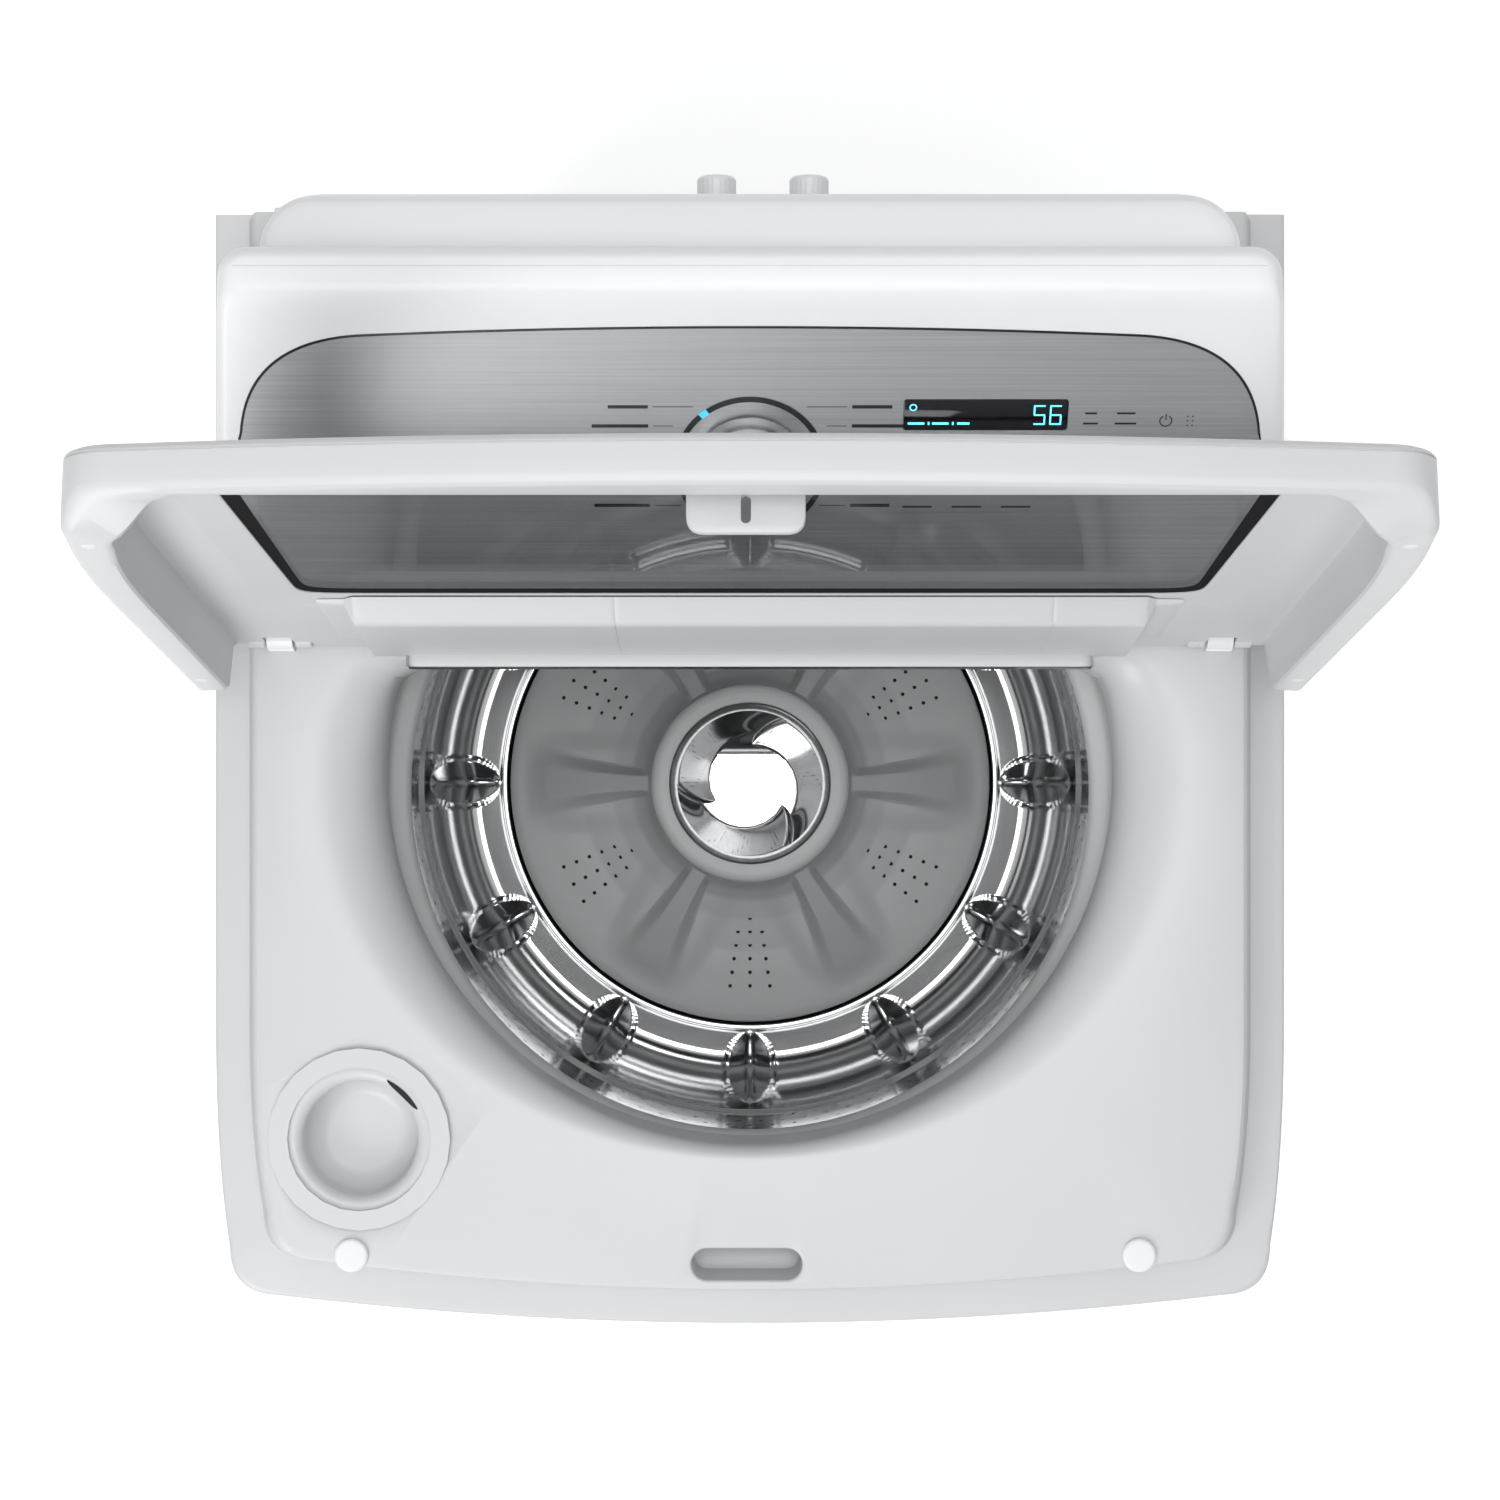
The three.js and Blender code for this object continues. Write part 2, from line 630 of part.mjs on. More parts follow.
function makeHingePins() {
  return [['left', -hingeX], ['right', hingeX]].map(([side, x]) => (
    piece(`hinge_pin_${side}`, rodAlongX(3.5, x - 14, x + 14, pivotY, pivotZ), brushedSteel)
  ));
}

function makeHingeBrackets() {
  return [['left', -hingeX], ['right', hingeX]].map(([side, x]) => {
    let bracket = block(x - 8, x + 8, pivotY - 9, pivotY + 9, plateauZ + gap, pivotZ);
    bracket = bracket.add(rodAlongX(8, x - 8, x + 8, pivotY, pivotZ));
    bracket = bracket.subtract(rodAlongX(3.5 + gap, x - 9, x + 9, pivotY, pivotZ));
    return piece(`hinge_bracket_${side}`, bracket, greyPlastic);
  });
}

// the lid turns about its pins; it is set open by turning it back from closed
function makeLid() {
  const meshes = [makeLidShell(), makeLidGlass(), makeLidInnerFrame(), makeLatchTab(), ...makeHingePins()];
  const lid = new THREE.Group();
  meshes.forEach((mesh) => {
    mesh.position.set(0, -pivotY, -pivotZ);
    lid.add(mesh);
  });
  lid.position.set(0, pivotY, pivotZ);
  lid.rotation.x = THREE.MathUtils.degToRad(-lidOpenDegrees);
  return lid;
}

function makeOuterTub() {
  let tub = turned([[40, tubBottomZ], [284, tubBottomZ], [tubRadius, 342], [tubRadius, tubTopZ],
    [290, tubTopZ], [290, 345], [282, 335.5], [40, 335.5]]);
  for (const { x, y } of rodPlaces()) {
    const angle = Math.atan2(y - drumY, x);
    const arm = new THREE.BoxGeometry(98, 40, 10).translate(291 + 49, 0, earBottomZ + 5);
    tub = tub.add(solid(arm.rotateZ(angle).translate(0, drumY, 0)));
  }
  for (const { x, y } of rodPlaces()) tub = tub.subtract(disc(6, x, y, 360, 410));
  return piece('outer_tub', tub, paleGrey);
}

function makeTubRing() {
  const low = tubTopZ + gap;
  const outline = [[226, 898], [226, 906], [231, 909], [291, 904], [296, 900], [296, low], [291, low],
    [291, 899], [231, 904], [229, 898]];
  return piece('tub_ring', turned(outline), paleGrey);
}

function makeBasket() {
  const wallOutline = [[265, basketBaseZ + gap], [basketRadius, basketBaseZ + gap],
    [basketRadius, basketTopZ], [265, basketTopZ]];
  const base = [[30, 398], [206, 398], [208, 412], [222, 414], [240, 415.5], [255, 421], [264.5, 433],
    [basketRadius, basketBaseZ], [265, basketBaseZ], [262, 436], [252, 424], [238, 419.5], [222, 418],
    [207, 420], [203, 417], [203, 402], [30, 402]];
  const ring = [[241, basketTopZ + gap], [241, 886], [246, 890], [266, 890], [270, 886], [270, basketTopZ + gap]];
  const tube = [[14, 268], [26, 268], [26, 402 + gap], [60, 402 + gap], [60, 407], [14, 407]];
  return [
    piece('basket_wall', turned(wallOutline), polishedSteel),
    piece('basket_base', turned(base), polishedSteel),
    piece('balance_ring', turned(ring), greyPlastic),
    piece('spin_tube', turned(tube, 24), brushedSteel),
  ];
}

function makePulsator() {
  const low = pulsatorBottomZ;
  let body = turned([[0, low], [196, low], [pulsatorRadius, 422], [pulsatorRadius, 428], [195, 431], [150, 431],
    [112, 438], [88, 458], [79, 498], [75, 508], [66, hubTopZ], [0, hubTopZ]]);
  const crown = turned([[0, 424], [182, 424], [180, 433], [140, 445], [100, 466], [72, 496], [0, 496]], 36);
  const fins = 6;
  for (let i = 0; i < fins; i += 1) {
    const plan = new THREE.Shape();
    plan.moveTo(60, -13);
    plan.lineTo(181, -34);
    plan.lineTo(181, 34);
    plan.lineTo(60, 13);
    plan.closePath();
    const raw = new THREE.ExtrudeGeometry(plan, { depth: 80, bevelEnabled: false });
    const fin = solid(raw.rotateZ((i * 2 * Math.PI) / fins).translate(0, drumY, 425));
    body = body.add(fin.intersect(crown));
  }
  return piece('pulsator', body, greyPlastic);
}

function makeWashDrive() {
  const cap = [[0, hubTopZ + gap], [64, hubTopZ + gap], [65, 514], [61, 522], [50, 527], [37, 526], [33, 522], [0, 522]];
  const shaft = [[0, 236], [10, 236], [10, pulsatorBottomZ - gap], [0, pulsatorBottomZ - gap]];
  const rotor = [[10 + gap, 240], [140, 240], [146, 246], [146, 272], [142, 272], [142, 250], [136, 245],
    [10 + gap, 245]];
  return [
    makePulsator(),
    piece('pulsator_cap', turned(cap), chrome),
    piece('wash_shaft', turned(shaft, 24), brushedSteel),
    piece('motor_rotor', turned(rotor), castAlloy),
  ];
}

function makeTubFittings() {
  const housing = [[27, 280], [50, 280], [62, 322], [110, 322], [110, tubBottomZ - gap], [39.4, tubBottomZ - gap],
    [39.4, 336], [27, 336]];
  const stator = [[28, 262], [60, 262], [60, 250], [138, 250], [138, 274], [60, 274], [60, 279.7], [28, 279.7]];
  const pump = joined([
    disc(45, 185, -150, 268, tubBottomZ - gap, 24),
    block(205, 262, -162, -138, 285, 309),
  ]);
  return [
    piece('bearing_housing', turned(housing, 32), castAlloy),
    piece('motor_stator', turned(stator, 32), copperWire),
    piece('drain_pump', pump, darkPlastic),
  ];
}

function makeSuspension() {
  const rodOutline = [[0, 322], [18, 322], [18, capTopZ], [4, capTopZ], [4, gussetZ + sheet + gap],
    [11, gussetZ + sheet + gap], [11, 915], [0, 915]];
  const spring = [[7, capTopZ + gap], [16, capTopZ + gap], [16, earBottomZ - gap], [7, earBottomZ - gap]];
  return rodPlaces().flatMap(({ name, x, y }) => [
    piece(`suspension_rod_${name}`, turned(rodOutline, smallRound, x, y), brushedSteel),
    piece(`suspension_spring_${name}`, turned(spring, smallRound, x, y), brushedSteel),
  ]);
}

function makeFeet() {
  const outline = [[0, 0], [20, 0], [23, 3], [22, 9], [14, 12], [6, 12], [6, 72], [0, 72]];
  return footPlaces().map(({ name, x, y }) => (
    piece(`foot_${name}`, turned(outline, smallRound, x, y), rubber)
  ));
}

const washer = new THREE.Group();
washer.add(
  makeCabinetShell(),
  makeBaseFrame(),
  makeRearPanel(),
  makeTopCover(),
  makeBleachCup(),
  ...makeBumpers(),
  ...makeLidLock(),
  makeConsole(),
  makeConsoleRearCover(),
  makeControlPanel(),
  ...makePanelFittings(),
  makeKnob(),
  ...makeButtons(),
  ...makeInlets(),
  makeFillSpout(),
  makeGland(),
  makeDrainOutlet(),
  ...makeHoseHooks(),
  ...makeHingeBrackets(),
  makeLid(),
  makeOuterTub(),
  makeTubRing(),
  ...makeBasket(),
  ...makeWashDrive(),
  ...makeTubFittings(),
  ...makeSuspension(),
  ...makeFeet(),
);

export default washer;
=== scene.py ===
import json
import math

import bmesh
import bpy
from mathutils import Matrix, Vector


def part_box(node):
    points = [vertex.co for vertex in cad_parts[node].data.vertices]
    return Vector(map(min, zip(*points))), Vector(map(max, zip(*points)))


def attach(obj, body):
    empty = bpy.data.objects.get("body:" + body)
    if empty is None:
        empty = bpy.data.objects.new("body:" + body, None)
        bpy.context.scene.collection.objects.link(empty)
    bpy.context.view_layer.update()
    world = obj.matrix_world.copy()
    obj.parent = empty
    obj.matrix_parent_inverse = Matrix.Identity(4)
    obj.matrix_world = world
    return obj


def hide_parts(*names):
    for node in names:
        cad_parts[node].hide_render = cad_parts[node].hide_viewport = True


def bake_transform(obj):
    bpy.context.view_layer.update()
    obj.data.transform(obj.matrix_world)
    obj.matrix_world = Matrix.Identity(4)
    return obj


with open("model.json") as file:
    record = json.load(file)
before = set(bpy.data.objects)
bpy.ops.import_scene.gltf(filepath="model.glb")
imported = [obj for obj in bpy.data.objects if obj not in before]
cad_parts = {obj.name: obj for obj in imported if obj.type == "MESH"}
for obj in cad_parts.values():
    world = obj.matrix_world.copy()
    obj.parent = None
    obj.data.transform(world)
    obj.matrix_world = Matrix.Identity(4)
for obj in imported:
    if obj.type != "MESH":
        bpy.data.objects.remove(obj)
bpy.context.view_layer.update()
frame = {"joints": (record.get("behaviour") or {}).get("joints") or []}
print("frame loaded")

mm = 0.001
tau = 2 * math.pi

# where the machine's parts lie, read from the frame
coverLow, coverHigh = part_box("top_cover")
ringLow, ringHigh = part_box("tub_ring")
drumX = (ringLow.x + ringHigh.x) / 2
drumY = (ringLow.y + ringHigh.y) / 2
halfWidth = coverHigh.x
frontY = coverLow.y
backY = coverHigh.y
joints = {joint["name"]: joint for joint in frame["joints"]}
hinge = Vector(joints["lid_hinge"]["pos_m"])
lidOpenAngle = math.radians(joints["lid_hinge"]["range_deg"][1])


# camera and light come first
camera = {"height": 2.745, "behindDrum": 0.027, "lens": 66.5, "sensor": 36}


def makeCamera():
    data = bpy.data.cameras.new("camera")
    data.lens = camera["lens"]
    data.sensor_width = camera["sensor"]
    data.clip_end = 40
    eye = bpy.data.objects.new("camera", data)
    eye.location = (drumX, drumY + camera["behindDrum"], camera["height"])  # looks straight down
    bpy.context.collection.objects.link(eye)
    bpy.context.scene.camera = eye


light = {"toplightPower": 44, "toplightHeight": 4.4, "rearPower": 14, "keyPower": 26, "fillPower": 8,
         "cardPower": 40, "skyStrength": 0.66}


def makeAreaLight(name, place, target, size, power, shape="RECTANGLE"):
    data = bpy.data.lights.new(name, "AREA")
    data.shape = shape
    data.size, data.size_y = size
    data.energy = power
    lamp = bpy.data.objects.new(name, data)
    lamp.location = place
    lamp.rotation_euler = (Vector(target) - Vector(place)).to_track_quat("-Z", "Y").to_euler()
    bpy.context.collection.objects.link(lamp)


def makeStudio():
    world = bpy.data.worlds.new("studio")
    bpy.context.scene.world = world
    world.use_nodes = True
    nodes, links = world.node_tree.nodes, world.node_tree.links
    sky = nodes["Background"]
    sky.inputs["Strength"].default_value = light["skyStrength"]
    place = nodes.new("ShaderNodeTexCoord")
    split = nodes.new("ShaderNodeSeparateXYZ")
    ramp = nodes.new("ShaderNodeValToRGB")  # pale overhead, darker towards the horizon
    links.new(place.outputs["Generated"], split.inputs[0])
    links.new(split.outputs["Z"], ramp.inputs["Fac"])
    stops = ramp.color_ramp.elements
    stops[0].position, stops[0].color = 0.25, (0.28, 0.29, 0.30, 1)
    stops[1].position, stops[1].color = 0.9, (1, 1, 1, 1)
    links.new(ramp.outputs["Color"], sky.inputs["Color"])
    high = light["toplightHeight"]
    makeAreaLight("toplight", (0, drumY, high), (0, drumY, 0.9), (2.1, 2.1), light["toplightPower"],
                  "ELLIPSE")
    makeAreaLight("rear", (0, 2.0, 3.6), (0, 0.2, 0.9), (3.0, 1.2), light["rearPower"])
    makeAreaLight("key", (-1.7, -2.3, 3.4), (0, 0, 0.9), (1.6, 1.6), light["keyPower"])
    makeAreaLight("fill", (3.0, -0.6, 2.4), (0, 0, 0.9), (1.2, 2.4), light["fillPower"])
    makeAreaLight("frontCard", (-1.35, -2.6, 2.5), (-0.3, 0.2, 1.05), (2.0, 1.5), light["cardPower"])
    bpy.context.scene.view_settings.view_transform = "Standard"


floorLook = {"size": 14.0, "color": (0.95, 0.95, 0.95, 1), "roughness": 0.6, "glow": 0.3}


def makeFloor():
    mesh = bpy.data.meshes.new("floor")
    edge = floorLook["size"] / 2
    corners = [(-edge, -edge, 0), (edge, -edge, 0), (edge, edge, 0), (-edge, edge, 0)]
    mesh.from_pydata(corners, [], [(0, 1, 2, 3)])
    floor = bpy.data.objects.new("floor", mesh)
    bpy.context.collection.objects.link(floor)
    look = bpy.data.materials.new("paleFloor")
    look.use_nodes = True
    shader = look.node_tree.nodes["Principled BSDF"]
    shader.inputs["Base Color"].default_value = floorLook["color"]
    shader.inputs["Roughness"].default_value = floorLook["roughness"]
    shader.inputs["Emission Color"].default_value = floorLook["color"]
    shader.inputs["Emission Strength"].default_value = floorLook["glow"]
    mesh.materials.append(look)


makeCamera()
makeStudio()
makeFloor()
print("camera and studio ready")


# finishes
def startMaterial(name, color, roughness, metallic=0.0):
    material = bpy.data.materials.new(name)
    material.use_nodes = True
    shader = material.node_tree.nodes["Principled BSDF"]
    shader.inputs["Base Color"].default_value = (*color, 1)
    shader.inputs["Roughness"].default_value = roughness
    shader.inputs["Metallic"].default_value = metallic
    return material, shader


# noise laid over the object, or round it where along gives a UV stretch
def addNoise(material, scale, detail=3.0, stretch=(1, 1, 1), source="Object"):
    nodes, links = material.node_tree.nodes, material.node_tree.links
    place = nodes.new("ShaderNodeTexCoord")
    mapping = nodes.new("ShaderNodeMapping")
    mapping.inputs["Scale"].default_value = stretch
    noise = nodes.new("ShaderNodeTexNoise")
    noise.inputs["Scale"].default_value = scale
    noise.inputs["Detail"].default_value = detail
    links.new(place.outputs[source], mapping.inputs["Vector"])
    links.new(mapping.outputs["Vector"], noise.inputs["Vector"])
    return noise.outputs["Fac"]


def spread(material, value, low, high):
    node = material.node_tree.nodes.new("ShaderNodeMapRange")
    node.inputs["To Min"].default_value = low
    node.inputs["To Max"].default_value = high
    material.node_tree.links.new(value, node.inputs["Value"])
    return node.outputs["Result"]


def addBump(material, shader, value, distance, strength=1.0):
    bump = material.node_tree.nodes.new("ShaderNodeBump")
    bump.inputs["Distance"].default_value = distance
    bump.inputs["Strength"].default_value = strength
    material.node_tree.links.new(value, bump.inputs["Height"])
    material.node_tree.links.new(bump.outputs["Normal"], shader.inputs["Normal"])


def addTint(material, shader, value, dark, pale):
    ramp = material.node_tree.nodes.new("ShaderNodeValToRGB")
    ramp.color_ramp.elements[0].position = 0.3
    ramp.color_ramp.elements[0].color = (*dark, 1)
    ramp.color_ramp.elements[1].position = 0.7
    ramp.color_ramp.elements[1].color = (*pale, 1)
    material.node_tree.links.new(value, ramp.inputs["Fac"])
    material.node_tree.links.new(ramp.outputs["Color"], shader.inputs["Base Color"])


def mouldedPlastic(name, color, roughness=0.4, grain=0.00004, unevenness=0.03, shine=0.5):
    material, shader = startMaterial(name, color, roughness)
    shader.inputs["IOR"].default_value = 1.49
    shader.inputs["Specular IOR Level"].default_value = shine
    cloud = addNoise(material, 6.0, 2.0)
    addTint(material, shader, cloud, [c * (1 - unevenness) for c in color], color)
    speckle = addNoise(material, 900.0, 2.0)
    rough = spread(material, speckle, roughness * 0.85, roughness * 1.15)
    material.node_tree.links.new(rough, shader.inputs["Roughness"])
    addBump(material, shader, speckle, grain, 0.5)
    return material


def enamelledSteel(name, color):
    material, shader = startMaterial(name, color, 0.28)
    shader.inputs["Coat Weight"].default_value = 0.5
    shader.inputs["Coat Roughness"].default_value = 0.12
    cloud = addNoise(material, 3.0, 2.0)
    addTint(material, shader, cloud, [c * 0.98 for c in color], color)
    orangePeel = addNoise(material, 260.0, 2.0)
    addBump(material, shader, orangePeel, 0.00003, 0.6)
    return material


def brushedSheet(name, dark, pale, roughness, metallic, grainStretch, source="Object",
                 bumpDistance=0.00003):
    material, shader = startMaterial(name, pale, roughness, metallic)
    grain = addNoise(material, 1.0, 4.0, grainStretch, source)
    addTint(material, shader, grain, dark, pale)
    rough = spread(material, grain, roughness * 0.75, roughness * 1.3)
    material.node_tree.links.new(rough, shader.inputs["Roughness"])
    addBump(material, shader, grain, bumpDistance, 0.5)
    return material


def roughCastMetal(name, color, roughness=0.5):
    material, shader = startMaterial(name, color, roughness, 0.9)
    lumps = addNoise(material, 180.0, 4.0)
    addTint(material, shader, lumps, [c * 0.8 for c in color], color)
    addBump(material, shader, lumps, 0.0003, 0.6)
    return material


def clearGlass(name, color, roughness=0.02):
    material, shader = startMaterial(name, color, roughness)
    shader.inputs["Transmission Weight"].default_value = 1.0
    shader.inputs["IOR"].default_value = 1.06
    smear = addNoise(material, 14.0, 3.0)
    rough = spread(material, smear, roughness * 0.5, roughness * 1.6)
    material.node_tree.links.new(rough, shader.inputs["Roughness"])
    return material


def litPlastic(name, color, strength):
    material, shader = startMaterial(name, color, 0.4)
    shader.inputs["Emission Color"].default_value = (*color, 1)
    shader.inputs["Emission Strength"].default_value = strength
    glow = addNoise(material, 500.0, 1.0)
    rough = spread(material, glow, 0.35, 0.45)
    material.node_tree.links.new(rough, shader.inputs["Roughness"])
    return material


looks = {
    # the cover's and lid's whites are set darker than the console's white: painted shade for the lower
    # light they get
    "coverWhite": mouldedPlastic("coverWhite", (0.56, 0.568, 0.576), 0.38),
    "lidWhite": mouldedPlastic("lidWhite", (0.59, 0.598, 0.605), 0.4),
    "consoleWhite": mouldedPlastic("consoleWhite", (0.79, 0.798, 0.81), 0.35),
    "rubberPad": mouldedPlastic("rubberPad", (0.74, 0.745, 0.75), 0.6, 0.0001),
    "cabinetEnamel": enamelledSteel("cabinetEnamel", (0.60, 0.605, 0.61)),
    "pulsatorGrey": mouldedPlastic("pulsatorGrey", (0.66, 0.668, 0.675), 0.34, 0.00006, 0.05),
    "collarGrey": mouldedPlastic("collarGrey", (0.74, 0.748, 0.755), 0.4, 0.00006),
    "tubGrey": mouldedPlastic("tubGrey", (0.56, 0.565, 0.57), 0.42),
    "darkGrey": mouldedPlastic("darkGrey", (0.10, 0.10, 0.105), 0.45),
    "printBlack": mouldedPlastic("printBlack", (0.012, 0.012, 0.013), 0.3),
    "borderBlack": mouldedPlastic("borderBlack", (0.010, 0.010, 0.011), 0.85, 0.00004, 0.03, 0.08),
    # holes and slots are drawn as black shapes: painted shade in place of the openings
    "paintedHoleShade": mouldedPlastic("paintedHoleShade", (0.004, 0.004, 0.004), 0.7),
    "panelSteel": brushedSheet("panelSteel", (0.36, 0.365, 0.375), (0.44, 0.445, 0.455), 0.42, 0.6,
                               (5, 800, 800)),
    "basketSteel": brushedSheet("basketSteel", (0.60, 0.605, 0.61), (0.72, 0.725, 0.73), 0.13, 1.0,
                                (30, 700, 1), "UV", 0.00001),
    "rodSteel": brushedSheet("rodSteel", (0.45, 0.45, 0.46), (0.62, 0.62, 0.63), 0.3, 1.0, (300, 300, 20)),
    "frameZinc": brushedSheet("frameZinc", (0.42, 0.43, 0.44), (0.58, 0.59, 0.60), 0.45, 0.8, (25, 25, 25)),
    "castAlloy": roughCastMetal("castAlloy", (0.55, 0.56, 0.57)),
    "copper": brushedSheet("copper", (0.45, 0.2, 0.1), (0.72, 0.36, 0.2), 0.35, 0.9, (60, 60, 900)),
    "knobSilver": brushedSheet("knobSilver", (0.62, 0.625, 0.63), (0.74, 0.745, 0.75), 0.22, 0.95,
                               (40, 40, 40)),
    # the seam line's grey is painted shade of the gap between the console halves
    "seamShadeGrey": mouldedPlastic("seamShadeGrey", (0.62, 0.625, 0.635), 0.6),
    "keyGrey": mouldedPlastic("keyGrey", (0.52, 0.525, 0.53), 0.35),
    "chrome": brushedSheet("chrome", (0.84, 0.845, 0.85), (0.88, 0.885, 0.89), 0.035, 1.0, (20, 20, 20),
                           "Object", 0.000002),
    "frostedChrome": roughCastMetal("frostedChrome", (0.34, 0.345, 0.35), 0.32),
    "lidGlass": clearGlass("lidGlass", (0.80, 0.81, 0.815), 0.008),
    "displayBlack": mouldedPlastic("displayBlack", (0.008, 0.008, 0.01), 0.08, 0.000005),
    "displayBlue": litPlastic("displayBlue", (0.12, 0.62, 0.80), 1.6),
    "markerBlue": litPlastic("markerBlue", (0.05, 0.50, 0.75), 0.6),
    "boardGreen": mouldedPlastic("boardGreen", (0.02, 0.14, 0.06), 0.35, 0.0001, 0.2),
    "rubberBlack": mouldedPlastic("rubberBlack", (0.03, 0.03, 0.031), 0.75, 0.0002),
}
print("finishes ready:", len(looks))


# making meshes
def finishPiece(name, mesh, look, body, nodes=(), sharpAngle=32):
    mesh.validate()
    bm = bmesh.new()
    bm.from_mesh(mesh)
    bmesh.ops.remove_doubles(bm, verts=bm.verts, dist=1e-6)
    bmesh.ops.recalc_face_normals(bm, faces=bm.faces)
    bm.to_mesh(mesh)
    bm.free()
    mesh.polygons.foreach_set("use_smooth", [True] * len(mesh.polygons))
    mesh.set_sharp_from_angle(angle=math.radians(sharpAngle))
    if not mesh.materials:
        mesh.materials.append(looks[look])
    piece = bpy.data.objects.new(name, mesh)
    bpy.context.collection.objects.link(piece)
    if body:
        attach(piece, body)
    if nodes:
        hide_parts(*nodes)
    return piece


def smoothStep(t):
    t = min(1.0, max(0.0, t))
    return t * t * (3 - 2 * t)


# a skin over rings of points with equal counts; loop joins the last ring to the first
def skin(name, rings, loop=False, capStart=False, capEnd=False, closed=True):
    size = len(rings[0])
    points = [p for ring in rings for p in ring]
    faces = []
    uvs = []
    last = len(rings) if loop else len(rings) - 1
    around = size if closed else size - 1
    for level in range(last):
        above = (level + 1) % len(rings)
        for i in range(around):
            j = (i + 1) % size
            faces.append((level * size + i, level * size + j, above * size + j, above * size + i))
            v0, v1 = level / last, (level + 1) / last
            uvs += [(i / size, v0), ((i + 1) / size, v0), ((i + 1) / size, v1), (i / size, v1)]
    if capStart:
        faces.append(tuple(reversed(range(size))))
        uvs += [(0, 0)] * size
    if capEnd:
        faces.append(tuple((len(rings) - 1) * size + i for i in range(size)))
        uvs += [(0, 1)] * size
    mesh = bpy.data.meshes.new(name)
    mesh.from_pydata(points, [], faces)
    layer = mesh.uv_layers.new(name="around")
    layer.data.foreach_set("uv", [value for uv in uvs for value in uv])
    return mesh


# corners of a flat outline turned into arcs; a corner may carry its own radius as a third number
def filleted(outline, radius, steps=4, loop=False):
    result = []
    count = len(outline)
    for i, point in enumerate(outline):
        here = Vector(point[:2])
        if not loop and i in (0, count - 1):
            result.append(tuple(here))
            continue
        before = Vector(outline[i - 1][:2]) - here
        after = Vector(outline[(i + 1) % count][:2]) - here
        wanted = point[2] if len(point) > 2 else radius
        reach = min(wanted, before.length * 0.45, after.length * 0.45)
        if reach < 1e-6:
            result.append(tuple(here))
            continue
        start = here + before.normalized() * reach
        end = here + after.normalized() * reach
        for k in range(steps + 1):
            t = k / steps
            bent = start.lerp(here, t).lerp(here.lerp(end, t), t)
            result.append(tuple(bent))
    return result


# (radius, height) outline in millimetres turned about an upright axis
def turnedMesh(name, outline, place=None, steps=128, radius=1.0, loop=None, smoothing=4):
    onAxis = outline[0][0] == 0
    loop = (not onAxis) if loop is None else loop
    fine = filleted(outline, radius, smoothing, loop)
    centreX, centreY = (place[0] * mm, place[1] * mm) if place else (drumX, drumY)
    rings = []
    for r, z in fine:
        r = max(r, 1e-4)
        turns = [tau * k / steps for k in range(steps)]
        rings.append([(centreX + r * mm * math.cos(a), centreY + r * mm * math.sin(a), z * mm)
                      for a in turns])
    return skin(name, rings, loop=loop, capStart=not loop, capEnd=not loop)


# the machine's outline seen from above, drawn in by side and front insets, in millimetres
plan = {"nose": 334, "frontCorner": -354, "taper": -180, "corner": 30}


def planRing(z, inset, frontInset=None, back=None, steps=14):
    frontInset = inset if frontInset is None else frontInset
    back = backY / mm if back is None else back
    side = halfWidth / mm - inset
    nose = plan["nose"] - inset
    corner = plan["frontCorner"] + frontInset
    middle = frontY / mm + frontInset
    bend = plan["corner"]
    points = []

    def line(a, b, count):
        points.extend([Vector(a).lerp(Vector(b), k / count) for k in range(count)])

    def curve(a, b, c, count):
        a, b, c = Vector(a), Vector(b), Vector(c)
        points.extend([a.lerp(b, k / count).lerp(b.lerp(c, k / count), k / count) for k in range(count)])

    half = (plan["taper"] + corner) / 2
    line((side, back), (-side, back), steps * 4)
    line((-side, back), (-side, plan["taper"]), steps * 3)
    curve((-side, plan["taper"]), (-side, half), (-nose, corner + bend), steps)
    curve((-nose, corner + bend), (-nose, corner), (-nose + bend, corner - 1), steps)
    curve((-nose + bend, corner - 1), (0, 2 * middle - corner + 1), (nose - bend, corner - 1), steps * 4)
    curve((nose - bend, corner - 1), (nose, corner), (nose, corner + bend), steps)
    curve((nose, corner + bend), (side, half), (side, plan["taper"]), steps)
    line((side, plan["taper"]), (side, back), steps * 3)
    return [Vector((p.x * mm, p.y * mm, z * mm)) for p in points]


def boxRing(z, x0, x1, y0, y1, frontBend, backBend, steps=8, straight=6):
    corners = [(x0, y0, frontBend), (x1, y0, frontBend), (x1, y1, backBend), (x0, y1, backBend)]
    points = []
    for i, (x, y, bend) in enumerate(corners):
        here = Vector((x, y))
        before = Vector(corners[i - 1][:2]) - here
        after = Vector(corners[(i + 1) % 4][:2]) - here
        start = here + before.normalized() * bend
        end = here + after.normalized() * bend
        for k in range(steps + 1):
            t = k / steps * math.pi / 2
            centre = start + end - here
            points.append(centre + (start - centre) * math.cos(t) + (end - centre) * math.sin(t))
        following = corners[(i + 1) % 4]
        nextStart = Vector(following[:2]) - after.normalized() * following[2]
        points.extend([end.lerp(nextStart, k / straight) for k in range(1, straight)])
    return [Vector((p.x * mm, p.y * mm, z * mm)) for p in points]


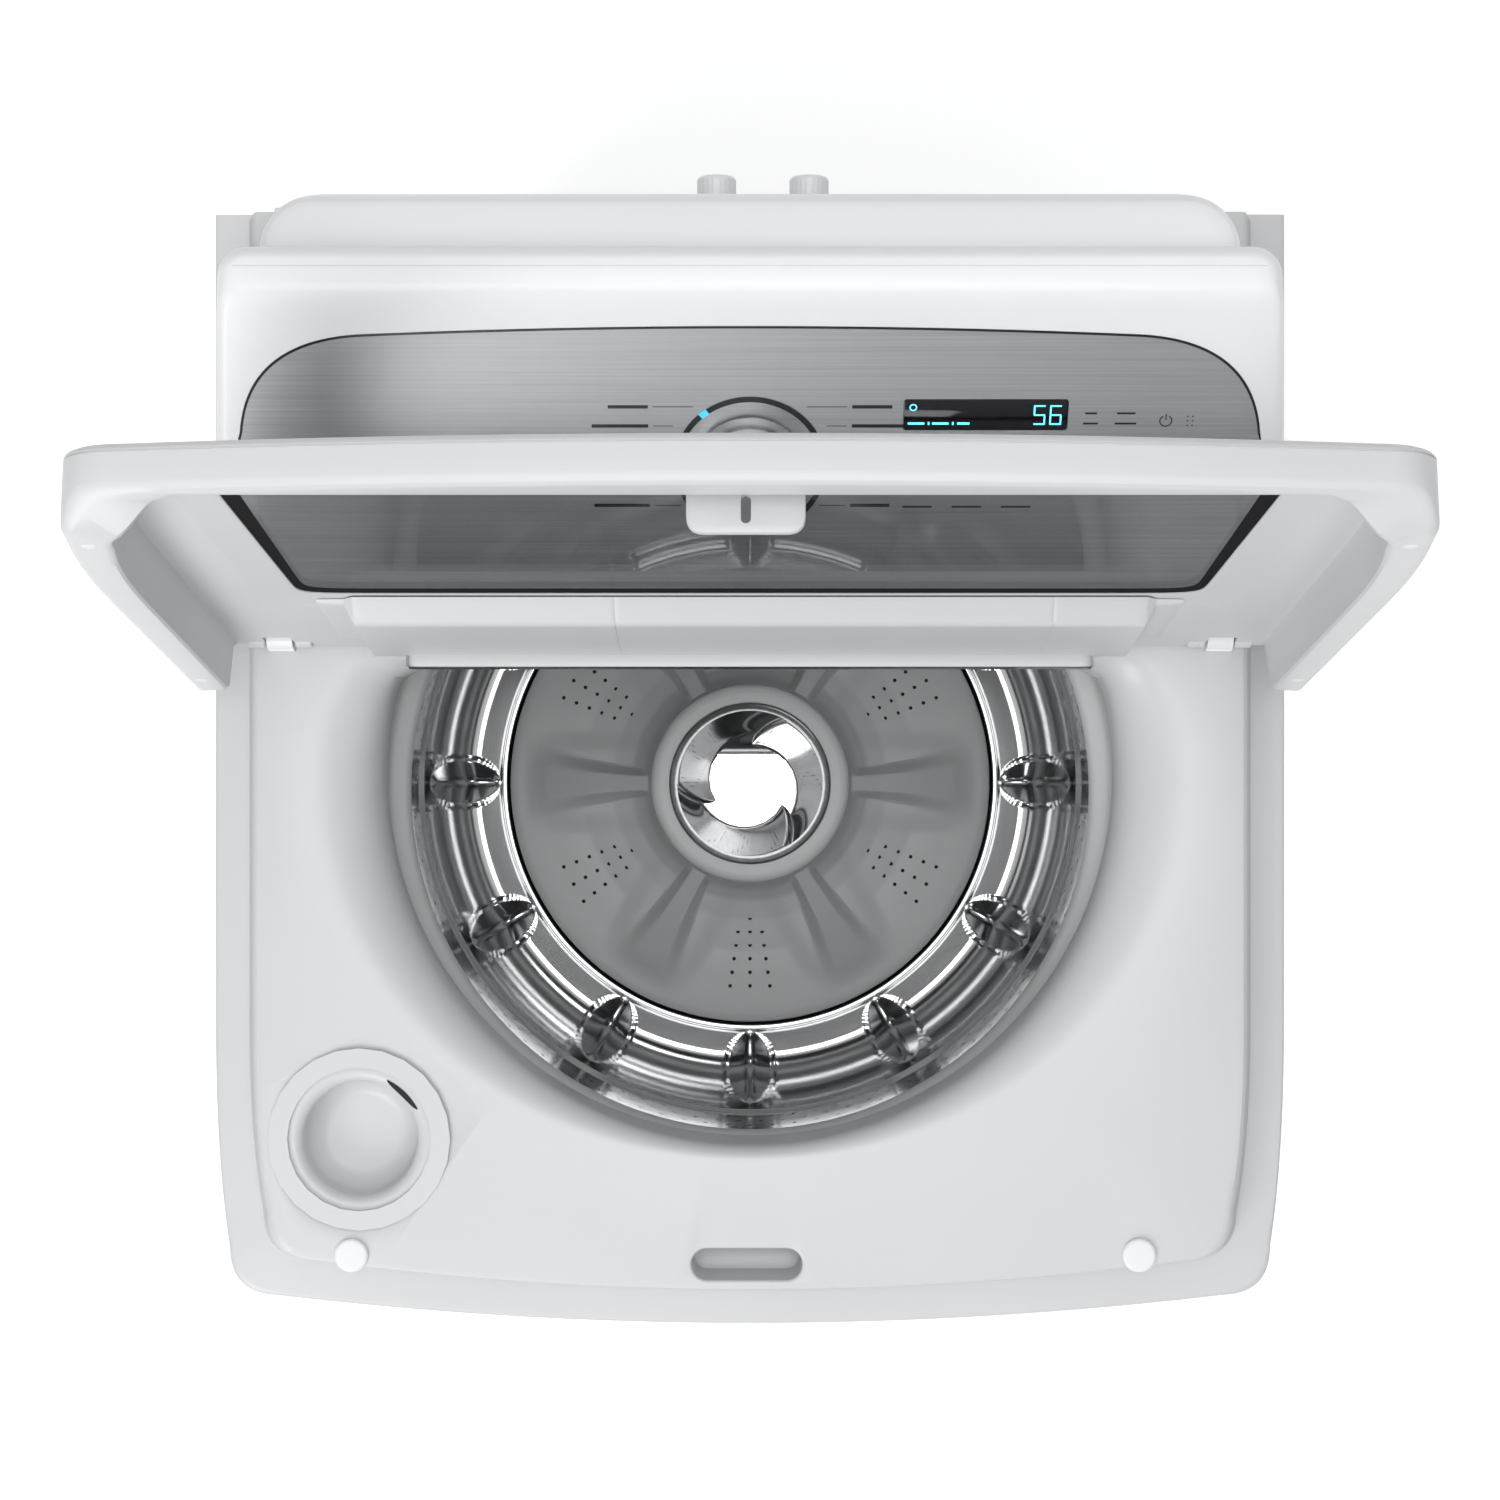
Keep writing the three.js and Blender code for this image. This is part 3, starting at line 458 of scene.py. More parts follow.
def cutWith(piece, meshes):
    for number, mesh in enumerate(meshes):
        tool = bpy.data.objects.new(f"{piece.name}Cut{number}", mesh)
        bpy.context.collection.objects.link(tool)
        modifier = piece.modifiers.new("cut", "BOOLEAN")
        modifier.operation = "DIFFERENCE"
        modifier.solver = "EXACT"
        modifier.object = tool
        bpy.context.view_layer.objects.active = piece
        bpy.ops.object.modifier_apply(modifier=modifier.name)
        bpy.data.objects.remove(tool, do_unlink=True)
    piece.data.polygons.foreach_set("use_smooth", [True] * len(piece.data.polygons))
    piece.data.set_sharp_from_angle(angle=math.radians(32))


def closedMesh(mesh):
    bm = bmesh.new()
    bm.from_mesh(mesh)
    bmesh.ops.recalc_face_normals(bm, faces=bm.faces)
    bm.to_mesh(mesh)
    bm.free()
    return mesh


def pillRing(z, x, y, length, width, steps=12):
    radius = width / 2
    reach = length / 2 - radius
    points = []
    for side, start in ((1, -math.pi / 2), (-1, math.pi / 2)):
        for k in range(steps + 1):
            angle = start + math.pi * k / steps
            across, up = side * reach + radius * math.cos(angle), radius * math.sin(angle)
            points.append(Vector((x + across, y + up, z)) * mm)
    return points


# (x, z) outline of a bar, both in millimetres, with rounded edges, run from y0 to y1
def blockMesh(name, x0, x1, y0, y1, z0, z1, edge=0.8, bend=None):
    bend = bend or edge
    rings = []
    for inset, z in ((edge, z0), (edge * 0.3, z0 + edge * 0.3), (0, z0 + edge), (0, z1 - edge),
                     (edge * 0.3, z1 - edge * 0.3), (edge, z1)):
        corner = max(bend - inset, 0.2)
        rings.append(boxRing(z, x0 + inset, x1 - inset, y0 + inset, y1 - inset, corner, corner, 4, 2))
    return skin(name, rings, capStart=True, capEnd=True)


# top cover
cover = {"bottom": 935, "ledge": 970, "plateau": 1000, "openingY": -20, "radius": 235, "flatY": 50,
         "rollSide": 50, "rollFront": 9, "depthSide": 40, "depthFront": 12, "lip": 945, "wall": 3,
         "rollSteps": 9, "rollEnd": 0.42, "squareness": 16, "cutLow": 990}


# how far the mouth is rounded over, wide at the sides and tight at the front and rear
def rollShare(angle):
    share = math.cos(angle) ** 2
    rise = math.sin(angle)
    if rise > 0:
        share *= max(0.0, 1 - (rise / cover["rollEnd"]) ** 2)
    return share


def mouthRadius(angle):
    rise = math.sin(angle)
    if rise < 0.05:
        return cover["radius"]
    flat = (cover["flatY"] - cover["openingY"]) / rise
    square = cover["squareness"]
    return (cover["radius"] ** -square + flat ** -square) ** (-1 / square)


def mouthRing(guide, widthShare, z, extra=0.0):
    points = []
    for p in guide:
        angle = math.atan2(p.y / mm - cover["openingY"], p.x / mm)
        share = rollShare(angle)
        width = cover["rollFront"] + (cover["rollSide"] - cover["rollFront"]) * share
        depth = cover["depthFront"] + (cover["depthSide"] - cover["depthFront"]) * share
        radius = mouthRadius(angle) + extra + width * widthShare
        height = z(depth) if callable(z) else z
        y = cover["openingY"] + radius * math.sin(angle)
        points.append(Vector((radius * math.cos(angle), y, height)) * mm)
    return points


def makeTopCover():
    top = cover["plateau"]
    ledge = cover["ledge"]
    rear = backY / mm
    outside = [(cover["bottom"], 0.6, 0.6), (cover["bottom"] + 0.6, 0, 0), (ledge - 5, 0, 0),
               (ledge - 2, 0.5, 0.5), (ledge - 0.5, 1.8, 1.8), (ledge, 3.6, 3.6), (ledge, 20, 21.5),
               (ledge + 0.6, 22.4, 23.8), (ledge + 2.4, 23.6, 24.8), (ledge + 8, 25, 25.4),
               (top - 8, 28.6, 26.6), (top - 3, 30, 27.4), (top - 0.8, 32, 28.8), (top, 35, 31.5)]
    rings = [planRing(z, side, front, rear - (4 if z > ledge else 0)) for z, side, front in outside]
    guide = rings[-1]
    for step in range(cover["rollSteps"] + 1):
        angle = math.pi / 2 * (1 - step / cover["rollSteps"])
        sunk = 1 - math.sin(angle)
        rings.append(mouthRing(guide, 1 - math.cos(angle), lambda depth, sunk=sunk: top - depth * sunk))
    lip = cover["lip"]
    thick = cover["wall"]
    rings += [mouthRing(guide, 0, lip + 2), mouthRing(guide, 0, lip + 0.5, 0.5),
              mouthRing(guide, 0, lip, 1.5), mouthRing(guide, 0, lip + 0.5, 2.5),
              mouthRing(guide, 0, lip + 2, thick), mouthRing(guide, 0, lambda depth: top - depth, thick),
              mouthRing(guide, 1, top - thick - 0.5, thick)]
    inside = [(top - thick - 0.5, 38, 35), (ledge - thick, 28, 29), (ledge - thick, thick, thick),
              (cover["bottom"] + 0.6, thick, thick)]
    for z, side, front in inside:
        rings.append(planRing(z, side, front, rear - 8 if z > ledge else rear - thick))
    mesh = skin("topCover", rings, loop=True)
    piece = finishPiece("topCover", mesh, "coverWhite", "cabinet", ["top_cover"])
    low = cover["cutLow"]
    x, y, hole, rim = bleach["x"], bleach["y"], bleach["hole"] * 2, bleach["rim"] * 2
    cutWith(piece, [flaredTool("pocketTool", pocket["x"], pocket["y"], pocket["length"], pocket["width"],
                               low),
                    flaredTool("bleachTool", x, y, hole, hole, low),
                    flaredTool("bleachRim", x, y, rim, rim, bleach["rimSeat"])])


pocket = {"x": -2, "y": -329, "length": 70, "width": 20, "floor": 966, "wall": 2.4, "bottom": 955,
          "seat": 996.4, "boltClear": 0.4, "guideHalf": 30, "guideBack": -270, "guideTop": 996}
bleach = {"x": -246, "y": -250, "rim": 53.4, "rimSeat": 997.8, "hole": 41.2, "bowl": 36, "floor": 972,
          "slotAngle": 46, "slotReach": 19, "slotWidth": 3.4, "slotOut": 5.2, "slotSteps": 16}


# a pill-shaped tool whose top flares out, so that the hole gets a soft edge
def flaredTool(name, x, y, length, width, low):
    top = cover["plateau"]
    flare = ((low, 0), (top - 1.6, 0), (top - 0.9, 0.25), (top - 0.35, 0.8), (top + 0.02, 1.7),
             (top + 2, 4))
    rings = [pillRing(z, x, y, length + 2 * grow + 0.001, width + 2 * grow) for z, grow in flare]
    return closedMesh(skin(name, rings, capStart=True, capEnd=True))


def makePocket():
    x, y, length, width = pocket["x"], pocket["y"], pocket["length"], pocket["width"]
    wall, bottom, seat = pocket["wall"], pocket["bottom"], pocket["seat"]
    shape = [(bottom, wall), (seat - 0.3, wall), (seat, wall / 2), (seat, 0), (pocket["floor"] + 5, -0.3),
             (pocket["floor"] + 1.5, -1.6), (pocket["floor"], -5)]
    rings = [pillRing(z, x, y, length + 2 * grow, width + 2 * grow) for z, grow in shape]
    liner = finishPiece("lockPocket", skin("lockPocket", rings, capStart=True, capEnd=True), "coverWhite",
                        "cabinet", ["lid_lock_housing"])
    boltLow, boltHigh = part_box("lock_bolt")
    clear = pocket["boltClear"]
    hole = [v / mm for v in (boltLow.x, boltHigh.x, boltLow.y, boltHigh.y, boltLow.z, boltHigh.z)]
    span = (hole[0] - clear, hole[1] + clear, y, hole[3] + clear, hole[4] - clear, hole[5] + clear)
    cutWith(liner, [closedMesh(blockMesh("boltWay", *span, 0.1))])
    half, start = pocket["guideHalf"], y + width / 2 + wall + 0.3
    guide = blockMesh("boltGuide", x - half, x + half, start, pocket["guideBack"], bottom,
                      pocket["guideTop"], 3)
    box = finishPiece("boltGuide", guide, "darkGrey", "cabinet")
    cutWith(box, [closedMesh(blockMesh("boltWay", *span, 0.1))])


def makeBleachCup():
    top = cover["plateau"]
    rim, bowl, floor = bleach["rim"] - 0.4, bleach["bowl"], bleach["floor"]
    outline = [(0, floor - 3), (28, floor - 3), (38, floor + 5), (bleach["hole"] - 0.5, top - 2),
               (rim, top - 2), (rim, top - 0.2), (rim - 1.5, top - 0.2, 0.5), (rim - 2.2, top - 0.7, 0.5),
               (rim - 3, top - 0.2, 0.5), (bowl + 4.5, top - 0.2, 3), (bowl + 0.5, top - 3.5, 5),
               (bowl - 1.5, floor + 9, 9), (bowl - 9, floor, 9), (0, floor)]
    mesh = turnedMesh("bleachBowl", outline, (bleach["x"], bleach["y"]), 96, 1.0)
    finishPiece("bleachBowl", mesh, "coverWhite", "cabinet", ["bleach_cup"])
    # the overflow slot is a black crescent on the bowl's rim, painted shade in place of the open slot
    middle, reach = math.radians(bleach["slotAngle"]), math.radians(bleach["slotReach"])
    count = bleach["slotSteps"]
    rings = []
    for z in (top - 0.35, top + 0.03):
        outer, inner = [], []
        for k in range(count + 1):
            t = k / count * 2 - 1
            angle = middle + reach * t
            width = bleach["slotWidth"] * math.sqrt(max(0.02, 1 - t * t))
            far = bowl + bleach["slotOut"]
            for edge, radius in ((outer, far), (inner, far - width)):
                x, y = bleach["x"] + radius * math.cos(angle), bleach["y"] + radius * math.sin(angle)
                edge.append(Vector((x, y, z)) * mm)
        rings.append(outer + inner[::-1])
    finishPiece("bleachSlot", skin("bleachSlot", rings, capStart=True, capEnd=True), "paintedHoleShade", "cabinet")


bumper = {"foot": 10.7, "crown": 9.2}


def makeBumpers():
    for side in ("left", "right"):
        low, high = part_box(f"bumper_{side}")
        place = ((low.x + high.x) / 2 / mm, (low.y + high.y) / 2 / mm)
        base, top = low.z / mm, high.z / mm
        outline = [(0, base), (bumper["foot"], base), (bumper["foot"], base + 1.4, 0.8),
                   (bumper["crown"], top - 0.1, 1.2), (0, top)]
        finishPiece(f"bumperPad{side.title()}", turnedMesh("bumperPad", outline, place, 48, 0.4),
                    "rubberPad", "cabinet", [f"bumper_{side}"])


makeTopCover()
makePocket()
makeBleachCup()
makeBumpers()
print("top cover made")


# basket, tub and pulsator
basket = {"wallRadius": 265, "thick": 1.6, "lipRadius": 203, "floorZ": 418, "curveTop": 497, "top": 850,
          "flatShare": 0.22, "flatRadius": 226, "dimples": 12, "dimpleEnd": 0.82, "ridge": 4.6,
          "ridgeStart": 0.8, "crest": 1.6, "dimpleWidth": 22, "rimWidth": 0.12, "rimHeight": 1.1,
          "steps": 900, "levels": 90, "hub": 60, "under": 400.4, "beads": (8, 17, 26)}


def ringAt(radius, z, steps=240, lift=None):
    points = []
    for k in range(steps):
        angle = tau * k / steps
        r, height = (radius, z) if lift is None else lift(angle)
        points.append((drumX + r * mm * math.cos(angle), drumY + r * mm * math.sin(angle), height * mm))
    return points


# the dish from its lip round the big corner and up to the wall, as (radius, height) at share t
def dishPoint(t):
    lip, floor = basket["lipRadius"] + 7, basket["floorZ"]
    wallRadius, top = basket["wallRadius"], basket["curveTop"]
    flat, corner = basket["flatShare"], basket["flatRadius"]
    if t < flat:
        return lip + (corner - lip) * t / flat, floor
    angle = (t - flat) / (1 - flat) * math.pi / 2
    return corner + (wallRadius - corner) * math.sin(angle), floor + (top - floor) * (1 - math.cos(angle))


# a pressed egg shape with a ridge along its length, a little narrower towards the middle
def dimpleLift(t, radius, angle):
    share = t / basket["dimpleEnd"]
    if not 0 < share < 1:
        return 0.0
    pitch = tau / basket["dimples"]
    offset = (angle + pitch / 2) % pitch - pitch / 2
    across = abs(offset) * radius
    width = basket["dimpleWidth"] * 2 * math.sqrt(share * (1 - share)) * (0.94 + 0.12 * share)
    if across >= width:
        return 0.0
    side = 1 - across / width
    crest = (4 * share * (1 - share)) ** 0.5
    rim, top = basket["rimWidth"], basket["ridgeStart"]
    if side < rim:  # a small raised outline before the face rises to its ridge
        return basket["rimHeight"] * crest * math.sin(math.pi * side / rim)
    if side < top:
        return basket["ridge"] * crest * ((side - rim) / (top - rim)) ** 1.15
    return crest * (basket["ridge"] + basket["crest"] * smoothStep((side - top) / (1 - top) * 1.6))


def makeBasketBase():
    rings = []
    lip, floor, hub = basket["lipRadius"], basket["floorZ"], basket["hub"]
    steps, count, under = basket["steps"], basket["levels"], basket["under"]
    plate = [(hub, under + 2), (lip, under + 2), (lip, floor + 2.6), (lip + 4.5, floor + 2.6),
             (lip + 7, floor)]
    for r, z in filleted(plate, 2, 4):
        rings.append(ringAt(r, z, steps))
    for k in range(1, count + 1):
        t = k / count
        r, z = dishPoint(t)
        ahead, behind = dishPoint(min(1, t + 0.01)), dishPoint(max(0, t - 0.01))
        along = Vector((ahead[0] - behind[0], ahead[1] - behind[1])).normalized()

        def place(angle, t=t, r=r, z=z, along=along):
            lift = dimpleLift(t, r, angle)
            return r - along.y * lift, z + along.x * lift

        rings.append(ringAt(r, z, steps, place))
    thick = basket["thick"]
    for k in range(8, -1, -1):
        r, z = dishPoint(k / 8)
        rings.append(ringAt(r + thick * (k / 8), z - thick * (1 - k / 8), steps))
    rings.append(ringAt(lip - 1, under, steps))
    rings.append(ringAt(hub, under, steps))
    finishPiece("basketDish", skin("basketDish", rings, loop=True), "basketSteel", "basket",
                ["basket_base"], 50)


def makeBasketWall():
    radius, thick, top = basket["wallRadius"], basket["thick"], basket["top"]
    low = basket["curveTop"] + 0.2
    inside = [(radius, low)]
    for bead in basket["beads"]:  # rolled beads above the dish
        inside += [(radius, low + bead - 3, 1.5), (radius - 2.2, low + bead, 2.5),
                   (radius, low + bead + 3, 1.5)]
    inside += [(radius, top - 20, 2), (radius - 2.5, top - 14, 3), (radius, top - 8, 2), (radius, top)]
    outline = inside + [(radius + thick, top), (radius + thick, low)]
    wall = turnedMesh("basketWall", outline, None, 240, 0.3, True, 4)
    finishPiece("basketWall", wall, "basketSteel", "basket", ["basket_wall"], 40)
    # perforations are black discs standing a hair off the wall, painted shade in place of open holes
    holes = {"columns": 96, "firstZ": low + 40, "pitch": 26, "rows": 10, "radius": 1.7}
    points, faces = [], []
    for column in range(holes["columns"]):
        for row in range(holes["rows"]):
            angle = tau * (column + 0.5 * (row % 2)) / holes["columns"]
            z = holes["firstZ"] + holes["pitch"] * row
            outward = Vector((math.cos(angle), math.sin(angle), 0))
            addDisc(points, faces, outward, radius - 0.12, z, holes["radius"])
    mesh = bpy.data.meshes.new("wallHoles")
    mesh.from_pydata(points, [], faces)
    finishPiece("wallHoles", mesh, "paintedHoleShade", "basket")
    ringOutline = [(241, 851, 2), (241, 886, 4), (248, 890, 4), (265, 890, 3), (269.5, 885, 3),
                   (269.5, 851, 1)]
    finishPiece("balanceRing", turnedMesh("balanceRing", ringOutline, None, 160), "tubGrey", "basket",
                ["balance_ring"])


# a thin disc lying against an upright wall, facing its axis
def addDisc(points, faces, outward, radius, z, size, sides=8):
    sideways = Vector((-outward.y, outward.x, 0))
    start = len(points)
    for depth in (0.0, 0.25):
        for k in range(sides):
            angle = tau * k / sides
            across = outward * (radius + depth) + sideways * (size * math.cos(angle))
            points.append((drumX + across.x * mm, drumY + across.y * mm, (z + size * math.sin(angle)) * mm))
    faces.append(tuple(range(start, start + sides)))
    faces.append(tuple(reversed(range(start + sides, start + 2 * sides))))
    for k in range(sides):
        j = (k + 1) % sides
        faces.append((start + k, start + sides + k, start + sides + j, start + j))


def makeTub():
    ring = [(229.2, 894, 0.4), (226.2, 894, 0.4), (225.6, 900, 3), (228.5, 906, 4), (237, 908.8, 6),
            (252, 907.4, 6), (291, 904, 4), (296, 900.5, 2), (296, 890.5, 0.5), (291.5, 890.5, 0.5),
            (291.5, 899, 2), (237, 904.5, 3), (230, 901, 3)]
    mesh = turnedMesh("tubTopRing", ring, None, 240)
    finishPiece("tubTopRing", mesh, "tubGrey", "tub", ["tub_ring"])
    wall = [(40.5, 330.2), (283, 330.2, 14), (294, 343, 12), (294, 600, 1), (294, 889.8), (290.2, 889.8),
            (290.2, 345, 9), (281, 335.2, 9), (40.5, 335.2)]
    mesh = turnedMesh("tubShell", wall, None, 160, 0.6)
    tub = finishPiece("tubShell", mesh, "tubGrey", "tub", ["outer_tub"])
    # stiffening ribs outside, and four arms that sit on the springs
    rib = {"count": 24, "depth": 5, "thick": 3, "low": 345, "high": 880}
    wallRadius, armEnd = 293.6, 388
    for number in range(rib["count"]):
        angle = tau * (number + 0.5) / rib["count"]
        bar = blockMesh("tubRib", wallRadius, wallRadius + rib["depth"], -rib["thick"] / 2,
                        rib["thick"] / 2, rib["low"], rib["high"], 0.6)
        turnAndJoin(tub, bar, angle)
    for number in range(4):
        angle = math.pi / 4 + number * math.pi / 2
        arm = blockMesh("tubArm", wallRadius, armEnd, -20, 20, 382.3, 392, 2, 10)
        turnAndJoin(tub, arm, angle)


def turnAndJoin(piece, mesh, angle):
    mesh.transform(Matrix.Translation((drumX, drumY, 0)) @ Matrix.Rotation(angle, 4, "Z"))
    bm = bmesh.new()
    bm.from_mesh(piece.data)
    bm.from_mesh(closedMesh(mesh))
    bm.to_mesh(piece.data)
    bm.free()
    bpy.data.meshes.remove(mesh)


pulsator = {"radius": 200.3, "top": 510, "rim": 430, "fins": 6, "finStart": 80, "finEnd": 190,
            "finHeight": 66, "stepHeight": 5, "holeRadius": 1.6, "holeRows": 6, "firstHole": 113,
            "holePitch": 11.4, "holeSpacing": 10, "holeSpread": 1.65}


def pulsatorHeight(radius):
    shape = [(79, 506), (80.5, 498), (83, 482), (88, 462), (98, 446), (114, 437), (140, 432), (170, 430.4),
             (194, pulsator["rim"])]
    if radius <= shape[0][0]:
        return shape[0][1]
    for (r0, z0), (r1, z1) in zip(shape, shape[1:]):
        if radius <= r1:
            t = (radius - r0) / (r1 - r0)
            return z0 + (z1 - z0) * t
    return shape[-1][1]


# each fin is a broad soft step with a narrow ridge on it that dies out towards the rim
def finLift(radius, angle):
    pitch = tau / pulsator["fins"]
    offset = (angle + pitch / 2) % pitch - pitch / 2
    across = abs(radius * math.sin(offset))
    end = pulsator["finEnd"]
    share = min(1.0, (end - radius) / (end - pulsator["finStart"]))
    if share <= 0:
        return 0.0
    soft = smoothStep(share * 2.2)
    step = pulsator["stepHeight"] * (1 - smoothStep((across - 24) / 20)) * soft
    ridgeHalf = 11 + 22 * (1 - share) ** 1.4
    crest = pulsator["rim"] + pulsator["finHeight"] * share ** 1.15
    rise = max(0.0, crest - pulsatorHeight(radius) - step)
    ridge = rise * (1 - smoothStep((across - ridgeHalf * 0.45) / (ridgeHalf * 0.6)))
    return step + ridge * smoothStep(share * 5)


def makePulsator():
    steps = 480
    radii = [79, 79.6] + [80.5 + k * 2.2 for k in range(52)] + [195.0]
    rings = [ringAt(1.0, pulsator["top"] - 0.2, steps)]
    for r, z in filleted([(60, 509.8), (73, 509.8, 2), (77.2, 509.0, 3), (79, 506)], 2, 4):
        rings.append(ringAt(r, z, steps))
    for radius in radii[1:]:
        base = pulsatorHeight(radius)
        rings.append(ringAt(radius, base, steps, lambda a, r=radius, z=base: (r, z + finLift(r, a))))
    edge = pulsator["radius"]
    rim, under = pulsator["rim"], 418.4
    turnedUnder = [(195, rim), (edge - 1.2, rim - 0.8, 2), (edge, 426, 3), (edge, 420, 2), (195, under),
                   (1, under)]
    for r, z in filleted(turnedUnder, 2, 4)[1:]:
        rings.append(ringAt(r, z, steps))
    mesh = skin("pulsatorDisc", rings, capStart=True, capEnd=True)
    finishPiece("pulsatorDisc", mesh, "pulsatorGrey", "wash_drive", ["pulsator"], 35)
    collar = [(64, 509.9), (64, 510.2), (74, 510.3, 3), (78.2, 509.0, 3), (80.1, 505, 3), (80.9, 499, 1),
              (78, 499), (76, 506), (72, 508)]
    mesh = turnedMesh("pulsatorCollar", collar, None, 160, 0.1)
    finishPiece("pulsatorCollar", mesh, "collarGrey", "wash_drive", [], 40)
    # six groups of drain holes between the fins, drawn as black discs of painted shade in place of open
    # holes
    points, faces = [], []
    for group in range(pulsator["fins"]):
        axis = tau * (group + 0.5) / pulsator["fins"]
        for row in range(pulsator["holeRows"]):
            along = pulsator["firstHole"] + pulsator["holePitch"] * row
            spacing = pulsator["holeSpacing"] + pulsator["holeSpread"] * (row - 1)
            for column in ((0,) if row == 0 else (-1, 0, 1)):
                across = column * spacing
                x = along * math.cos(axis) - across * math.sin(axis)
                y = along * math.sin(axis) + across * math.cos(axis)
                z = pulsatorHeight(math.hypot(x, y)) + 0.15
                addFlatDisc(points, faces, x, y, z, pulsator["holeRadius"])
    mesh = bpy.data.meshes.new("drainHoles")
    mesh.from_pydata(points, [], faces)
    finishPiece("drainHoles", mesh, "paintedHoleShade", "wash_drive")


def addFlatDisc(points, faces, x, y, z, size, sides=12):
    start = len(points)
    for height in (z - 0.6, z):
        for k in range(sides):
            angle = tau * k / sides
            points.append((drumX + (x + size * math.cos(angle)) * mm,
                           drumY + (y + size * math.sin(angle)) * mm, height * mm))
    faces.append(tuple(reversed(range(start, start + sides))))
    faces.append(tuple(range(start + sides, start + 2 * sides)))
    for k in range(sides):
        j = (k + 1) % sides
        faces.append((start + k, start + j, start + sides + j, start + sides + k))


cap = {"blades": 3, "tip": math.radians(178), "discRadius": 36, "bladeRadius": 58.5, "drop": 13.0,
       "sweep": 0.55, "fall": 0.05, "top": 525.5}


# a domed disc in the middle, and round it three swept blades, each ending in a steep step
def capHeight(radius, angle):
    disc, outer = cap["discRadius"], cap["bladeRadius"]
    pitch = tau / cap["blades"]
    share = min(1.0, max(0.0, (radius - disc * 0.8) / (outer - disc * 0.8)))
    turn = ((cap["tip"] - angle + cap["sweep"] * (1 - share)) / pitch) % 1.0
    fall = cap["fall"]
    saw = turn / (1 - fall) if turn < 1 - fall else (1 - turn) / fall
    edge = disc * (0.86 + 0.2 * saw)  # the disc's outline is cut into by each blade
    dome = cap["top"] - 1.5 * (radius / disc) ** 2
    if radius <= edge:
        return dome
    out = (radius - edge) / (outer - edge)
    floor = 524.6 - cap["drop"] * out ** 0.85 * (1 - 0.5 * saw)
    return min(dome, floor + 1.5 * out)


def makeCap():
    steps = 480
    outer = cap["bladeRadius"]
    rings = []
    for k in range(48):
        radius = max(0.4, outer * k / 47)
        rings.append(ringAt(radius, 0, steps, lambda a, r=radius: (r, capHeight(r, a))))
    rings.append(ringAt(outer + 0.3, 511, steps))
    rings.append(ringAt(1, 510.6, steps))
    mesh = skin("capBlades", rings, capStart=True, capEnd=True)
    finishPiece("capBlades", mesh, "chrome", "wash_drive", ["pulsator_cap"], 40)
    edge = [(outer - 1, 510.7), (65, 510.7), (65.2, 513.2, 1.2), (63.6, 514.6, 1), (60, 515.4, 1),
            (outer - 1, 515.2, 0.6)]
    mesh = turnedMesh("capEdge", edge, None, 160, 0.3)
    finishPiece("capEdge", mesh, "frostedChrome", "wash_drive")


makeBasketBase()
makeBasketWall()
makeTub()
makePulsator()
makeCap()
print("basket, tub and pulsator made")


# lid
lid = {"top": 1012, "skin": 1007, "liner": 1003.5, "rim": 970.5, "frontRim": 986, "back": 70,
       "skirtEnd": 52, "windowX": 266, "windowFront": -318, "windowRear": -57, "sill": 22, "paneX": 273.5,
       "paneFront": -328.5, "paneRear": -49.5, "borderFront": 11, "borderRear": 4.5, "borderFoot": 6,
       "hingeX": 294}
barShape = {"half": 254, "fullHalf": 232, "sillTop": 122, "sillFoot": 109, "depth": 17.5, "end": 21,
            "endRise": 13, "lipHalf": 212, "lipDepth": 25, "lipFront": 28, "lipBack": 19,
            "seams": (-79, 178)}


# the rim hangs lower at the sides, is raised along the front, and fades out at the hinge edge
def rimHeight(x, y):
    front = smoothStep((-334 - y) / 20)
    if y < -290:
        front = max(front, smoothStep((308 - abs(x)) / 25))
    rear = smoothStep((y - lid["skirtEnd"]) / 9)
    height = lid["rim"] + (lid["frontRim"] - lid["rim"]) * front
    return height + (lid["liner"] - height) * rear


def lidRing(side, front, level):
    points = planRing(0, side, front, lid["back"] - side * 0.25)
    for p in points:
        x, y = p.x / mm, p.y / mm
        if side > 10 and y < -310:  # inside the rim the front runs straight across
            straight = plan["frontCorner"] + front - 17.5
            p.y = (y + (straight - y) * smoothStep((308 - abs(x)) / 40)) * mm
        p.z = (level(rimHeight(x, y)) if callable(level) else level) * mm
    return points


def windowRing(z, grow, x=None, front=None, rear=None, taper=0.0):
    x = (lid["windowX"] if x is None else x) + grow
    front = (lid["windowFront"] if front is None else front) - grow
    rear = (lid["windowRear"] if rear is None else rear) + grow
    middle, half, sharp = (front + rear) / 2, (rear - front) / 2, 26
    points = []
    for p in planRing(0, 30, 33, lid["back"] - 8):
        dx, dy = p.x / mm, p.y / mm - middle
        wide = x - taper * dy / half
        k = ((abs(dx) / wide) ** sharp + (abs(dy) / half) ** sharp) ** (-1 / sharp)
        points.append(Vector((dx * k, middle + dy * k, z)) * mm)
    return points


def openLid(piece):
    turn = Matrix.Rotation(-lidOpenAngle, 4, "X")
    piece.data.transform(Matrix.Translation(hinge) @ turn @ Matrix.Translation(-hinge))
    return piece


